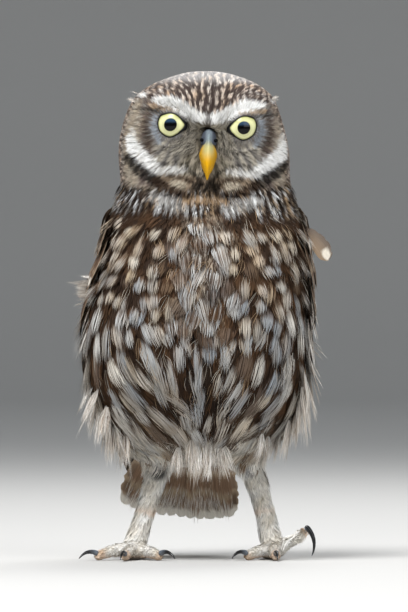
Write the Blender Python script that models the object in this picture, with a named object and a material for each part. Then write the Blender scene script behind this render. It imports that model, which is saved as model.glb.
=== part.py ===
"""A little owl standing with one toe lifted, life size, as a still museum model.

The bird faces -Y and +Z is up. Its own right side is at -X. The floor is at Z = 0, and the
origin lies on the floor under the middle of the bird's outline. Sizes are in metres.
"""

import math
import random
from functools import partial

import bmesh
import bpy
import numpy as np
from mathutils import Matrix, Vector

MM = 0.001
GAP = 0.35 * MM
RIGHT = -1
LEFT = 1
SIDE_NAMES = {RIGHT: "right", LEFT: "left"}

# The place of the origin in the frame that the sizes below are given in: on the floor, under
# the middle of the outline
ORIGIN = Vector((0.2, 12.6, 0.0)) * MM

# Head, neck and torso are one form. Each row is height, middle across, half width, front and back.
BODY_ROWS = (
    (209.8, 0.6, 0.5, -8.0, -4.0),
    (209.3, 0.6, 8.0, -14.5, 4.5),
    (207.2, 0.6, 15.6, -19.5, 12.0),
    (203.9, 0.3, 23.4, -24.0, 18.0),
    (199.0, 0.0, 29.6, -27.0, 22.5),
    (192.0, -0.4, 32.9, -28.0, 25.0),
    (183.0, -0.4, 35.5, -28.0, 26.0),
    (174.0, 0.0, 36.8, -27.5, 26.0),
    (166.0, 0.4, 36.4, -27.0, 25.0),
    (158.0, 0.9, 37.2, -28.5, 24.5),
    (149.0, 0.4, 40.4, -32.0, 26.0),
    (139.0, 0.6, 42.6, -36.0, 28.6),
    (127.0, 0.0, 44.2, -39.0, 32.4),
    (113.0, -2.0, 47.0, -40.5, 36.2),
    (98.0, -3.4, 47.8, -40.5, 39.2),
    (84.0, -3.2, 48.2, -38.5, 41.4),
    (72.0, -3.4, 47.4, -34.0, 43.0),
    (61.0, -2.8, 44.0, -27.0, 42.5),
    (51.5, -4.6, 37.4, -18.0, 38.5),
    (45.0, -4.0, 28.0, -8.0, 32.0),
    (41.8, -4.5, 15.0, 1.0, 25.0),
    (40.8, -5.0, 0.5, 10.0, 14.0),
)
BODY_SQUARENESS = 2.35
HEAD_ROW_END = 10
TORSO_ROW_START = 8

# The head and neck are parted by a tilted plane, and so are the neck and torso
HEAD_CUT = (Vector((0, -30, 158)) * MM, Vector((0, 22, 169)) * MM)
NECK_CUT = (Vector((0, -30, 147)) * MM, Vector((0, 24, 157)) * MM)

# Face
FACE_MIDDLE = 1.7 * MM
EYE_HEIGHT = 185.8 * MM
HEAD_ROLL = math.radians(2.4)
EYE_SPACING = 31.0 * MM
EYE_RADIUS = 8.0 * MM
EYE_FRONT = -29.6 * MM
EYE_TURN = math.radians(9)
LID_RADIUS = 6.3 * MM
LID_THICKNESS = 1.0 * MM
BROW_LINE = ((3.0, 0.8), (9.0, 7.0), (16.5, 11.0), (28.0, 12.8))
BROW_HEIGHT = 3.0
BROW_WIDTH = 3.4
# Other forms of the face: height, middle across and up, and reach across and up
FACE_FORMS = (
    (-3.2, (16.0, -0.5), (8.5, 6.5)),  # the dish round each eye
    (3.0, (0.0, -7.0), (5.5, 9.0)),  # the base of the bill
    (3.0, (25.0, -2.0), (7.0, 15.0)),  # the edge of the facial disc
    (2.0, (17.0, -17.0), (9.0, 6.5)),  # the cheek
    (1.5, (0.0, -27.0), (10.0, 5.0)),  # the chin
)
# The forms fade in between these distances in front of the head's middle
FACE_START, FACE_RUN = 8.0, 14.0

# Bill. Rows are height, front line, half width and depth behind the front line.
BILL_ROWS = (
    (181.8, -30.5, 2.6, 6.5),
    (179.0, -34.2, 3.7, 9.0),
    (175.8, -37.0, 4.1, 10.5),
    (172.4, -38.6, 3.9, 9.5),
    (169.0, -38.9, 3.1, 7.0),
    (165.8, -38.1, 1.8, 4.0),
    (162.9, -36.6, 0.5, 1.0),
)
CERE_ROWS = (
    (184.9, -28.6, 2.2, 4.0),
    (183.7, -30.6, 3.6, 6.0),
    (181.8, -32.4, 4.4, 7.5),
    (179.9, -33.4, 4.4, 8.0),
    (178.5, -33.6, 3.6, 8.0),
)
LOWER_BILL_ROWS = (
    (171.2, -29.5, 2.6, 3.5),
    (168.8, -31.6, 2.4, 4.5),
    (166.4, -33.2, 1.7, 4.5),
    (164.6, -33.8, 0.7, 2.5),
)
BILL_SQUARENESS = 2.2
NOSTRIL_RADIUS = 0.9 * MM
NOSTRIL_PLACE = (3.4, -4.6, -32.9)

# The form that both wings lie on: height, middle x, middle y, half width, half depth,
# and the angles of a wing's front and back edges, from the side towards the back.
WING_ROWS = (
    (151.0, 0.5, -2.5, 39.4, 29.6, -4, 44),
    (144.0, 0.5, -3.0, 43.0, 33.4, -18, 58),
    (132.0, 0.2, -3.0, 45.8, 37.8, -20, 64),
    (118.0, -1.2, -2.0, 48.6, 41.2, -16, 69),
    (103.0, -2.6, -0.5, 49.8, 43.2, -8, 74),
    (88.0, -3.0, 2.5, 49.4, 43.4, 0, 78),
    (73.0, -3.8, 8.5, 46.8, 41.6, 10, 81),
    (58.0, -5.4, 17.5, 41.0, 38.0, 20, 82),
    (44.0, -8.4, 28.0, 32.5, 31.0, 30, 81),
    (33.0, -11.0, 38.0, 26.5, 24.5, 38, 78),
    (26.0, -12.6, 44.5, 23.0, 20.5, 46, 73),
)
WING_SQUARENESS = 2.35
WING_CORE_END = 0.86
CORE_BULGE = 2.0 * MM
WING_CORE_DEPTHS = (5.5 * MM, 2.0 * MM)

# Rows of wing feathers from the lowest to the topmost: how many, the roots' and tips' places
# (down and back on the wing) for the first and last feather, half width, the lift of root and
# tip, and how much higher each tip lies than the one before. Feathers are counted from the
# wing's front edge.
WING_TIERS = (
    ("primaries", 6, ((0.54, 0.12), (0.52, 0.50)), ((0.90, 0.04), (0.93, 0.64)), 5.0, (-1.4, -2.2), 0.85),
    ("secondaries", 5, ((0.44, 0.52), (0.38, 0.92)), ((0.83, 0.68), (0.70, 0.96)), 5.8, (-1.2, 0.6), 0.7),
    ("greater_coverts", 5, ((0.35, 0.13), (0.31, 0.84)), ((0.60, 0.14), (0.53, 0.86)), 6.2, (-1.2, 1.1), 0.15),
    ("median_coverts", 4, ((0.20, 0.14), (0.18, 0.74)), ((0.42, 0.14), (0.37, 0.78)), 6.8, (-1.2, 1.0), 0.15),
    ("scapulars", 4, ((0.08, 0.50), (0.26, 0.97)), ((0.28, 0.66), (0.53, 0.99)), 6.0, (-1.4, 2.4), 0.2),
)
PRIMARY_BULGE = 0.085
FEATHER_SEED = 5
TIP_VARIATION = 0.007
VANE_THICKNESS = 0.55 * MM
VANE_ROLL = math.radians(5.5)
VANE_SHAPE = ((0.0, 0.55), (0.35, 0.95), (0.68, 1.0), (0.90, 0.72), (1.0, 0.22))
TAIL_SHAPE = ((0.0, 0.6), (0.6, 0.95), (0.9, 0.85), (1.0, 0.4))
COVERT_SHAPE = ((0.0, 0.6), (0.45, 1.0), (0.82, 0.85), (1.0, 0.3))
SURFACE_RADIUS = 42 * MM
# A vane reaches its full lift where this many times its length share is one
LIFT_RUN = 1.5

# One covert of the left wing stands out from the shoulder
STRAY_FEATHER = ((38.5, -6.0, 141.0), (45.5, -8.5, 139.0), (50.3, -10.0, 134.5), (53.2, -11.0, 128.6))
STRAY_HALF_WIDTHS = (2.6, 4.2, 4.6, 1.6)

# Tail
TAIL_ROOT = Vector((-3.5, 33.0, 74.0)) * MM
TAIL_TIP = Vector((-13.0, 66.0, 14.5)) * MM
TAIL_HALF_WIDTHS = (11.0 * MM, 20.0 * MM)
TAIL_FEATHERS = 12
TAIL_FEATHER_HALF_WIDTH = 5.8
TAIL_STEP = 0.85 * MM
TAIL_ROUNDING = 6.0 * MM
TAIL_CORE_END = 0.46
TAIL_CORE_THICKNESS = 5.0 * MM
TAIL_FEATHER_ROOT = (0.24, 0.8)
TAIL_COVERT_HALF_WIDTH = 5.6
TAIL_COVERT_LIFTS = (1.2, 2.4)
# Coverts over and under the tail: how many, root, tip and spread, and the side they lie on
TAIL_COVERTS = (
    ("upper", 4, 0.14, 0.58, 0.66, 1),
    ("under", 4, 0.12, 0.56, 0.66, -1),
)

# Legs: thigh, shank and foot of each side, as middle points and radii
THIGHS = {
    RIGHT: (((-18.0, 4.0, 62.0), 15.0), ((-18.5, 6.0, 50.0), 11.0), ((-18.8, 7.0, 41.5), 6.2)),
    LEFT: (((14.0, 5.0, 62.0), 15.0), ((16.5, 7.0, 50.0), 11.0), ((19.0, 8.5, 41.0), 6.2)),
}
SHANKS = {
    RIGHT: (
        ((-18.8, 7.0, 44.0), 5.2),
        ((-21.0, 5.5, 35.0), 4.9),
        ((-24.5, 3.5, 23.0), 4.3),
        ((-27.5, 1.5, 13.5), 4.4),
        ((-29.5, 0.5, 7.5), 5.0),
    ),
    LEFT: (
        ((18.5, 8.5, 44.0), 5.2),
        ((21.5, 9.0, 36.0), 5.0),
        ((25.0, 7.0, 25.0), 4.3),
        ((27.5, 5.0, 15.0), 4.5),
        ((28.8, 4.0, 8.5), 5.0),
    ),
}
FOOT_HUBS = {RIGHT: Vector((-30.0, 0.0, 4.0)) * MM, LEFT: Vector((29.5, 3.0, 4.0)) * MM}
HUB_RADII = Vector((5.4, 6.2, 4.4)) * MM
TOE_RADIUS = 2.9 * MM
TOE_END_RADIUS = 2.3 * MM
TOE_SWELL = 1.15
TOE_START = 2.0
TOE_MIDDLE = 0.55
TOE_ARCH = 0.5
# How much of the toes' undersides is cut off flat at the floor
SOLE_CUT = 0.35
CLAW_RADIUS = 1.3 * MM
CLAW_POINT = 0.16
CLAW_TAPER = 0.75
CLAW_STEPS = 7
CLAW_RISE = 1.0
REST_CLAW = (10.5, 30, 85)
# Each toe: its heading, from the front towards the bird's own left, its length, how far its
# middle and its end are lifted, and its claw's length, first slope and bend
TOES = {
    RIGHT: (
        ("outer", -58, 18.5, 1.8, 0.0, REST_CLAW),
        ("middle", -12, 18.0, 1.6, 0.0, REST_CLAW),
        ("inner", 44, 16.0, 1.2, 0.0, REST_CLAW),
        ("hind", 158, 12.0, 0.8, 0.0, REST_CLAW),
    ),
    LEFT: (
        ("outer", 66, 15.5, 5.6, 11.6, (14.5, -35, 85)),
        ("middle", 4, 18.0, 1.6, 0.0, REST_CLAW),
        ("inner", -44, 16.0, 1.2, 0.0, REST_CLAW),
        ("hind", 196, 12.0, 0.8, 0.0, REST_CLAW),
    ),
}


def clear_scene():
    for obj in list(bpy.data.objects):
        bpy.data.objects.remove(obj)


def make_material(name, colour, roughness):
    """A matt or waxy material of one colour, given as linear red, green and blue."""
    made = bpy.data.materials.new(name)
    made.use_nodes = True
    shader = made.node_tree.nodes["Principled BSDF"]
    shader.inputs["Base Color"].default_value = (*colour, 1)
    shader.inputs["Roughness"].default_value = roughness
    shader.inputs["Metallic"].default_value = 0
    return made


def make_collection(name):
    made = bpy.data.collections.new(name)
    bpy.context.scene.collection.children.link(made)
    return made


def object_of(name, bm, collection, material=None):
    """An object from a bmesh, with its faces pointing out."""
    bmesh.ops.recalc_face_normals(bm, faces=bm.faces)
    mesh = bpy.data.meshes.new(name)
    bm.to_mesh(mesh)
    bm.free()
    made = bpy.data.objects.new(name, mesh)
    collection.objects.link(made)
    if material:
        mesh.materials.append(material)
    return made


def along(rows, place):
    """The row at a place along the rows, on a smooth curve through them."""
    rows = np.asarray(rows, float)
    last = len(rows) - 1
    place = min(max(place, 0.0), float(last))
    start = min(int(place), last - 1)
    t = place - start
    before, here, there, after = (rows[min(max(start + i, 0), last)] for i in (-1, 0, 1, 2))
    return 0.5 * (
        2 * here
        + (there - before) * t
        + (2 * before - 5 * here + 4 * there - after) * t * t
        + (3 * here - before - 3 * there + after) * t**3
    )


def spread(start, end, count):
    return [start + (end - start) * i / (count - 1) for i in range(count)]


def loft(rings, bulge=0.0):
    """A closed body through rings of points. Each end is closed by a fan that may bulge."""
    bm = bmesh.new()
    made = [[bm.verts.new(point) for point in ring] for ring in rings]
    count = len(made[0])
    for lower, upper in zip(made, made[1:]):
        for i in range(count):
            j = (i + 1) % count
            bm.faces.new((lower[i], lower[j], upper[j], upper[i]))
    for ring, inner, turned in ((made[0], made[1], True), (made[-1], made[-2], False)):
        centre = sum((v.co for v in ring), Vector()) / count
        outward = centre - sum((v.co for v in inner), Vector()) / count
        middle = bm.verts.new(centre + outward.normalized() * bulge)
        for i in range(count):
            corners = (ring[i], ring[(i + 1) % count], middle)
            bm.faces.new(corners[::-1] if turned else corners)
    return bm


def oval(angle, squareness):
    """A point on a unit oval, square to the given degree."""
    c, s = math.cos(angle), math.sin(angle)
    power = 2 / squareness
    return math.copysign(abs(c) ** power, c), math.copysign(abs(s) ** power, s)


def body_ring(place, segments):
    """The body's section at a place along its rows."""
    height, middle, half_width, front, back = along(BODY_ROWS, place) * MM
    half_width = max(half_width, 0.4 * MM)
    centre, half_depth = (front + back) / 2, (back - front) / 2
    ring = []
    for i in range(segments):
        across, deep = oval(2 * math.pi * i / segments, BODY_SQUARENESS)
        ring.append(Vector((middle + half_width * across, centre + half_depth * deep, height)))
    return ring


def body_form(start, end, rings, segments):
    return loft([body_ring(place, segments) for place in spread(start, end, rings)])


def cut_below(bm, points, drop=0.0):
    """Takes off what lies below a plane that runs across the bird through two points."""
    low, high = points
    normal = Vector((0, low.z - high.z, high.y - low.y)).normalized()
    cut(bm, low - normal * drop, normal)


def cut_above(bm, points, drop=0.0):
    low, high = points
    normal = Vector((0, low.z - high.z, high.y - low.y)).normalized()
    cut(bm, low - normal * drop, -normal)


def cut(bm, point, normal):
    """Takes off what lies behind a plane and closes the flat that is left."""
    geometry = bm.verts[:] + bm.edges[:] + bm.faces[:]
    done = bmesh.ops.bisect_plane(
        bm, geom=geometry, plane_co=point, plane_no=normal, dist=1e-7, clear_inner=True
    )
    edges = [e for e in done["geom_cut"] if isinstance(e, bmesh.types.BMEdge)]
    if edges:
        bmesh.ops.contextual_create(bm, geom=edges)


def evaluated_mesh(obj):
    bpy.context.view_layer.update()
    graph = bpy.context.evaluated_depsgraph_get()
    return bpy.data.meshes.new_from_object(obj.evaluated_get(graph))


def settle(obj):
    """Applies an object's modifiers and keeps only its largest closed surface."""
    mesh = evaluated_mesh(obj)
    obj.modifiers.clear()
    obj.data = mesh
    bm = bmesh.new()
    bm.from_mesh(mesh)
    left = set(bm.verts)
    shells = []
    while left:
        grown, edge = set(), {left.pop()}
        while edge:
            grown |= edge
            edge = {e.other_vert(v) for v in edge for e in v.link_edges} - grown
        left -= grown
        shells.append(grown)
    shells.sort(key=lambda shell: box_size(shell), reverse=True)
    spare = [v for shell in shells[1:] for v in shell]
    bmesh.ops.delete(bm, geom=spare, context="VERTS")
    bmesh.ops.triangulate(bm, faces=bm.faces[:], quad_method="BEAUTY", ngon_method="BEAUTY")
    bm.to_mesh(mesh)
    bm.free()


def box_size(shell):
    points = np.array([v.co for v in shell])
    return float(np.prod(np.ptp(points, axis=0) + 1e-6))


def unite(obj, pieces, solver="EXACT"):
    """Joins closed pieces to an object by one union, then removes them."""
    group = bpy.data.collections.new(obj.name + "_pieces")
    bpy.context.scene.collection.children.link(group)
    for piece in pieces:
        for old in piece.users_collection:
            old.objects.unlink(piece)
        group.objects.link(piece)
    joiner = obj.modifiers.new("Join", "BOOLEAN")
    joiner.operand_type = "COLLECTION"
    joiner.collection = group
    joiner.operation = "UNION"
    joiner.solver = solver
    settle(obj)
    for piece in pieces:
        bpy.data.objects.remove(piece)
    bpy.data.collections.remove(group)


def grown_copy(obj, by, collection):
    """A cutter: a copy of an object, grown all round."""
    bm = bmesh.new()
    bm.from_mesh(obj.data)
    bm.normal_update()
    moves = [v.normal * by for v in bm.verts]
    for vert, move in zip(bm.verts, moves):
        vert.co += move
    return object_of(obj.name + "_cutter", bm, collection)


def carve(obj, others, cutters, solver="MANIFOLD"):
    """Cuts room for other pieces out of an object, with a thin gap all round them."""
    for other in others:
        cutter = grown_copy(other, GAP, cutters)
        taker = obj.modifiers.new("Room", "BOOLEAN")
        taker.object = cutter
        taker.operation = "DIFFERENCE"
        taker.solver = solver
        settle(obj)
        bpy.data.objects.remove(cutter)


def face_axes(point):
    """Across and up on the face, from its middle at eye height, in millimetres."""
    across, up = (point.x - FACE_MIDDLE) / MM, (point.z - EYE_HEIGHT) / MM
    c, s = math.cos(HEAD_ROLL), math.sin(HEAD_ROLL)
    return across * c - up * s, across * s + up * c


def face_point(across, up, y):
    """The place of a point given in millimetres across and up on the face."""
    c, s = math.cos(HEAD_ROLL), math.sin(HEAD_ROLL)
    x = FACE_MIDDLE + (across * c + up * s) * MM
    return Vector((x, y, EYE_HEIGHT + (up * c - across * s) * MM))


def bump(across, up, middle, size):
    return math.exp(-(((across - middle[0]) / size[0]) ** 2) - ((up - middle[1]) / size[1]) ** 2)


def distance_to_line(across, up, line):
    """The distance to a line of straight stretches."""
    point = Vector((across, up))
    best = math.inf
    for start, end in zip(line, line[1:]):
        a, b = Vector(start), Vector(end)
        t = min(max((point - a).dot(b - a) / (b - a).length_squared, 0), 1)
        best = min(best, (point - a.lerp(b, t)).length)
    return best


def face_relief(point):
    """How far the face stands forward of the plain head there."""
    across, up = face_axes(point)
    side = abs(across)
    relief = BROW_HEIGHT * math.exp(-((distance_to_line(side, up, BROW_LINE) / BROW_WIDTH) ** 2))
    for height, middle, size in FACE_FORMS:
        relief += height * bump(side, up, middle, size)
    return relief * MM


def eye_middle(side):
    front = face_point(side * EYE_SPACING / 2 / MM, 0, EYE_FRONT)
    return front - eye_direction(side) * EYE_RADIUS


def eye_direction(side):
    return Vector((side * math.sin(EYE_TURN), -math.cos(EYE_TURN), 0))


def make_head(parts, material):
    """The head with its facial disc and brows, and a lid rim round each eye."""
    bm = body_form(0, HEAD_ROW_END, 20, 34)
    for vert in bm.verts:
        if vert.co.y < 0:
            slope = min(1.0, max(0.0, (-vert.co.y / MM - FACE_START) / FACE_RUN))
            vert.co.y -= face_relief(vert.co) * slope
    cut_below(bm, HEAD_CUT)
    head = object_of("head", bm, parts, material)
    rims = []
    for side in (RIGHT, LEFT):
        rim_depth = math.sqrt(EYE_RADIUS**2 - LID_RADIUS**2)
        middle = eye_middle(side) + eye_direction(side) * rim_depth
        bpy.ops.mesh.primitive_torus_add(
            major_radius=LID_RADIUS,
            minor_radius=LID_THICKNESS,
            major_segments=18,
            minor_segments=5,
        )
        rim = bpy.context.object
        rim.data.transform(eye_direction(side).to_track_quat("Z", "X").to_matrix().to_4x4())
        rim.data.transform(Matrix.Translation(middle))
        rims.append(rim)
    unite(head, rims)
    return head


def make_eye(side, parts, material):
    bm = bmesh.new()
    bmesh.ops.create_uvsphere(bm, u_segments=16, v_segments=9, radius=EYE_RADIUS)
    turn = eye_direction(side).to_track_quat("Z", "Y").to_matrix().to_4x4()
    bmesh.ops.transform(bm, matrix=Matrix.Translation(eye_middle(side)) @ turn, verts=bm.verts)
    return object_of("eye_" + SIDE_NAMES[side], bm, parts, material)


def bill_form(rows, rings, segments):
    """A curved, tapering bill piece from its rows."""
    made = []
    for place in spread(0, len(rows) - 1, rings):
        height, front, half_width, depth = along(rows, place)
        ring = []
        for i in range(segments):
            across, deep = oval(2 * math.pi * i / segments, BILL_SQUARENESS)
            point = face_point(half_width * across, 0, 0)
            point.z += height * MM - EYE_HEIGHT
            point.y = (front + depth / 2 + depth / 2 * deep) * MM
            ring.append(point)
        made.append(ring)
    return loft(made)


def make_bill(parts, horn, cere_skin):
    """The hooked upper bill, the cere with its nostrils, and the lower bill."""
    upper = object_of("bill_upper", bill_form(BILL_ROWS, 11, 10), parts, horn)
    cere = object_of("cere", bill_form(CERE_ROWS, 8, 14), parts, cere_skin)
    lower = object_of("bill_lower", bill_form(LOWER_BILL_ROWS, 7, 10), parts, horn)
    return upper, cere, lower


def pierce_nostrils(cere, cutters):
    across, up, front = NOSTRIL_PLACE
    for side in (RIGHT, LEFT):
        bm = bmesh.new()
        bmesh.ops.create_uvsphere(bm, u_segments=8, v_segments=6, radius=NOSTRIL_RADIUS)
        middle = face_point(side * across, up, front * MM)
        bmesh.ops.translate(bm, verts=bm.verts, vec=middle)
        cutter = object_of("nostril_cutter", bm, cutters)
        taker = cere.modifiers.new("Nostril", "BOOLEAN")
        taker.object = cutter
        taker.operation = "DIFFERENCE"
        settle(cere)
        bpy.data.objects.remove(cutter)


def plate(grid, normals, thickness):
    """A thin closed vane from rows of points, split into triangles alike on both faces."""
    bm = bmesh.new()
    upper = [[bm.verts.new(p + n * thickness / 2) for p in row] for row, n in zip(grid, normals)]
    lower = [[bm.verts.new(p - n * thickness / 2) for p in row] for row, n in zip(grid, normals)]
    rows, columns = len(grid), len(grid[0])
    for face, turned in ((upper, False), (lower, True)):
        for i in range(rows - 1):
            for j in range(columns - 1):
                a, b, c, d = face[i][j], face[i][j + 1], face[i + 1][j + 1], face[i + 1][j]
                for corners in ((a, b, c), (a, c, d)):
                    bm.faces.new(corners[::-1] if turned else corners)
    rim = [(0, j) for j in range(columns)] + [(i, columns - 1) for i in range(1, rows)]
    rim += [(rows - 1, j) for j in range(columns - 2, -1, -1)] + [(i, 0) for i in range(rows - 2, 0, -1)]
    for (i, j), (k, m) in zip(rim, rim[1:] + rim[:1]):
        bm.faces.new((upper[i][j], lower[i][j], upper[k][m]))
        bm.faces.new((upper[k][m], lower[i][j], lower[k][m]))
    return bm


def vane(surface, root, tip, half_width, lifts, shape, roll):
    """A feather that lies on a surface from its root to its tip."""

    def centre(t, extra=0.0):
        lift = (lifts[0] + (lifts[1] - lifts[0]) * min(1.0, t * LIFT_RUN)) * MM + extra
        return surface(root[0] + (tip[0] - root[0]) * t, root[1] + (tip[1] - root[1]) * t, lift)

    grid, normals = [], []
    for t, share in shape:
        middle = centre(t)
        normal = (centre(t, MM) - middle).normalized()
        across = (centre(t + 0.02) - centre(t - 0.02)).cross(normal).normalized()
        width = half_width * share * MM
        drop = width**2 / (2 * SURFACE_RADIUS)
        slope = width * math.sin(roll)
        row = [middle + across * width * k + normal * (slope * k - drop * abs(k)) for k in (-1, 0, 1)]
        grid.append(row)
        normals.append(normal)
    return plate(grid, normals, VANE_THICKNESS)


def wing_point(side, down, back, lift):
    """A point on a wing: down from 0 at the shoulder to 1 at the tip, back from 0 to 1."""
    row = along(WING_ROWS, down * (len(WING_ROWS) - 1))
    height, middle_x, middle_y, half_width, half_depth, front, rear = row
    angle = math.radians(front + (rear - front) * back)
    places = []
    for turn in (angle - 0.03, angle, angle + 0.03):
        across, deep = oval(turn, WING_SQUARENESS)
        places.append(Vector((half_width * across, half_depth * deep, 0)))
    tangent = places[2] - places[0]
    out = Vector((tangent.y, -tangent.x, 0)).normalized()
    place = places[1] + out * lift / MM
    return Vector((middle_x + side * place.x, middle_y + place.y, height)) * MM


def make_wing_core(side, parts, material):
    """The folded wing's solid middle, which its feathers grow from."""
    rings = []
    for down in spread(0, WING_CORE_END, 11):
        share = down / WING_CORE_END
        start, end = WING_CORE_DEPTHS
        depth = start + (end - start) * share
        outer = [wing_point(side, down, back, -0.3 * MM) for back in spread(0.03, 0.97, 6)]
        inner = [wing_point(side, down, back, -depth) for back in spread(0.06, 0.94, 6)]
        rings.append(outer + inner[::-1])
    return object_of("wing_" + SIDE_NAMES[side], loft(rings, CORE_BULGE), parts, material)


def make_wing_feathers(side, parts):
    """The wing's feathers, in rows that lie over one another like tiles."""

    surface = partial(wing_point, side)
    chance = random.Random(FEATHER_SEED + side)
    made = []
    for name, count, roots, tips, half_width, lifts, step in WING_TIERS:
        shape = VANE_SHAPE if name in ("primaries", "secondaries") else COVERT_SHAPE
        for i in range(count):
            t = i / (count - 1)
            root = [roots[0][k] + (roots[1][k] - roots[0][k]) * t for k in (0, 1)]
            tip = [tips[0][k] + (tips[1][k] - tips[0][k]) * t for k in (0, 1)]
            if name == "primaries":
                tip[0] += PRIMARY_BULGE * math.sin(math.pi * t)
            tip[0] += chance.uniform(-1, 1) * TIP_VARIATION
            heights = (lifts[0], lifts[1] + step * i)
            roll = side * VANE_ROLL * chance.uniform(0.85, 1.15)
            bm = vane(surface, root, tip, half_width, heights, shape, roll)
            made.append(object_of(name, bm, parts))
    if side == LEFT:
        made.append(object_of("stray", stray_vane(), parts))
    return made


def stray_vane():
    points = [Vector(p) * MM for p in STRAY_FEATHER]
    grid, normals = [], []
    for i, (point, half_width) in enumerate(zip(points, STRAY_HALF_WIDTHS)):
        ahead = points[min(i + 1, len(points) - 1)] - points[max(i - 1, 0)]
        across = ahead.cross(Vector((0.25, -1, 0.2))).normalized() * half_width * MM
        grid.append([point - across, point, point + across])
        normals.append(across.cross(ahead).normalized())
    return plate(grid, normals, VANE_THICKNESS)


def tail_axes():
    """The tail's own directions: down its length, across it, and out from its upper side."""
    down = (TAIL_TIP - TAIL_ROOT).normalized()
    across = Vector((1, 0, 0)) - down * down.x
    across.normalize()
    out = across.cross(down)
    return down, across, out if out.y > 0 else -out


def tail_point(down, across, lift):
    """A point on the tail: down from 0 at the root to 1 at the tip, across from -1 to 1."""
    along_tail, sideways, out = tail_axes()
    start, end = TAIL_HALF_WIDTHS
    half_width = start + (end - start) * down
    reach = (TAIL_TIP - TAIL_ROOT).length * down - TAIL_ROUNDING * across**2 * down
    arch = -TAIL_STEP * TAIL_FEATHERS / 2 * abs(across)
    return TAIL_ROOT + along_tail * reach + sideways * half_width * across + out * (arch + lift)


def make_tail_core(parts, material):
    """The solid root of the tail."""
    rings = []
    for down in spread(0, TAIL_CORE_END, 5):
        half = TAIL_CORE_THICKNESS / 2 * (1 - 0.8 * down / TAIL_CORE_END)
        upper = [tail_point(down, across, half) for across in spread(-1, 1, 7)]
        under = [tail_point(down, across, -half) for across in spread(-1, 1, 7)]
        rings.append(upper + under[::-1])
    return object_of("tail", loft(rings, CORE_BULGE), parts, material)


def make_tail_feathers(parts):
    """Twelve tail feathers with the middle pair on top, and the coverts over and under them."""
    made = []
    for i in range(TAIL_FEATHERS):
        across = (i - (TAIL_FEATHERS - 1) / 2) / ((TAIL_FEATHERS - 1) / 2)
        roll = -math.copysign(VANE_ROLL, across)
        root = (TAIL_FEATHER_ROOT[0], across * TAIL_FEATHER_ROOT[1])
        args = (root, (1.0, across), TAIL_FEATHER_HALF_WIDTH, (0.0, 0.0), TAIL_SHAPE, roll)
        made.append(object_of("rectrix", vane(tail_point, *args), parts))
    for name, count, start, end, spread_share, face in TAIL_COVERTS:
        lifts = [lift * face for lift in TAIL_COVERT_LIFTS]
        for across in spread(-spread_share, spread_share, count):
            roll = -math.copysign(VANE_ROLL, across) * face
            args = ((start, across), (end, across), TAIL_COVERT_HALF_WIDTH, lifts, COVERT_SHAPE, roll)
            made.append(object_of(name, vane(tail_point, *args), parts))
    return made


def limb_form(stations, rings, segments):
    """A rounded, tapering limb along a smooth line of middle points and radii."""
    rows = [(*middle, radius) for middle, radius in stations]
    last = len(rows) - 1
    made = []
    for place in spread(0, last, rings):
        x, y, z, radius = along(rows, place)
        ahead = along(rows, min(place + 0.05, last))[:3]
        behind = along(rows, max(place - 0.05, 0))[:3]
        direction = Vector(ahead - behind).normalized()
        start = direction.cross(Vector((0.12, 1, 0.2))).normalized()
        other = direction.cross(start)
        ring = []
        for i in range(segments):
            angle = 2 * math.pi * i / segments
            step = start * math.cos(angle) + other * math.sin(angle)
            ring.append((Vector((x, y, z)) + step * radius) * MM)
        made.append(ring)
    return loft(made)


def rounded(stations, at_start=True, at_end=True):
    """The stations of a limb with a smaller one added just past an end, to round it."""
    made = list(stations)
    for wanted, index, inner in ((at_start, 0, 1), (at_end, -1, -2)):
        if not wanted:
            continue
        middle, radius = made[index]
        step = (Vector(middle) - Vector(made[inner][0])).normalized()
        cap = (tuple(Vector(middle) + step * radius * 0.7), radius * 0.55)
        made.insert(0 if index == 0 else len(made), cap)
    return made


def toe_stations(side, toe):
    """A toe's middle points and radii, and its claw's, from the foot's hub."""
    _, heading, length, lift_middle, lift_end, claw = toe
    angle = math.radians(heading)
    ahead = Vector((math.sin(angle), -math.cos(angle), 0))
    start = FOOT_HUBS[side] / MM
    ground = TOE_END_RADIUS / MM - SOLE_CUT
    base = start + ahead * TOE_START
    middle = start + ahead * length * TOE_MIDDLE
    middle.z = ground + TOE_ARCH + lift_middle
    end = start + ahead * length
    end.z = ground + lift_end
    radii = (TOE_RADIUS / MM * TOE_SWELL, TOE_RADIUS / MM, TOE_END_RADIUS / MM)
    toe_line = [(tuple(p), r) for p, r in zip((base, middle, end), radii)]

    claw_length, slope, bend = claw
    point = end + Vector((0, 0, CLAW_RISE))
    claw_line = []
    step = 1 / (CLAW_STEPS - 1)
    for i in range(CLAW_STEPS):
        t = i * step
        radius = CLAW_RADIUS / MM * (1 - t) ** CLAW_TAPER + CLAW_POINT
        claw_line.append((tuple(point), radius))
        tilt = math.radians(slope - bend * (t + step / 2))
        point = point + (ahead * math.cos(tilt) + Vector((0, 0, math.sin(tilt)))) * claw_length * step
    return toe_line, claw_line


def make_foot(side, parts, material):
    """The sole and its four toes, with flats where they stand."""
    bm = bmesh.new()
    bmesh.ops.create_uvsphere(bm, u_segments=10, v_segments=6, radius=1)
    bmesh.ops.scale(bm, vec=HUB_RADII, verts=bm.verts)
    bmesh.ops.translate(bm, vec=FOOT_HUBS[side], verts=bm.verts)
    foot = object_of("foot_" + SIDE_NAMES[side], bm, parts, material)
    toes = []
    for toe in TOES[side]:
        toe_line, _ = toe_stations(side, toe)
        toes.append(object_of(toe[0], limb_form(rounded(toe_line), 7, 7), parts))
    unite(foot, toes)
    bm = bmesh.new()
    bm.from_mesh(foot.data)
    cut(bm, Vector(), Vector((0, 0, 1)))
    bmesh.ops.triangulate(bm, faces=[f for f in bm.faces if len(f.verts) > 4])
    bm.to_mesh(foot.data)
    bm.free()
    return foot


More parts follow.
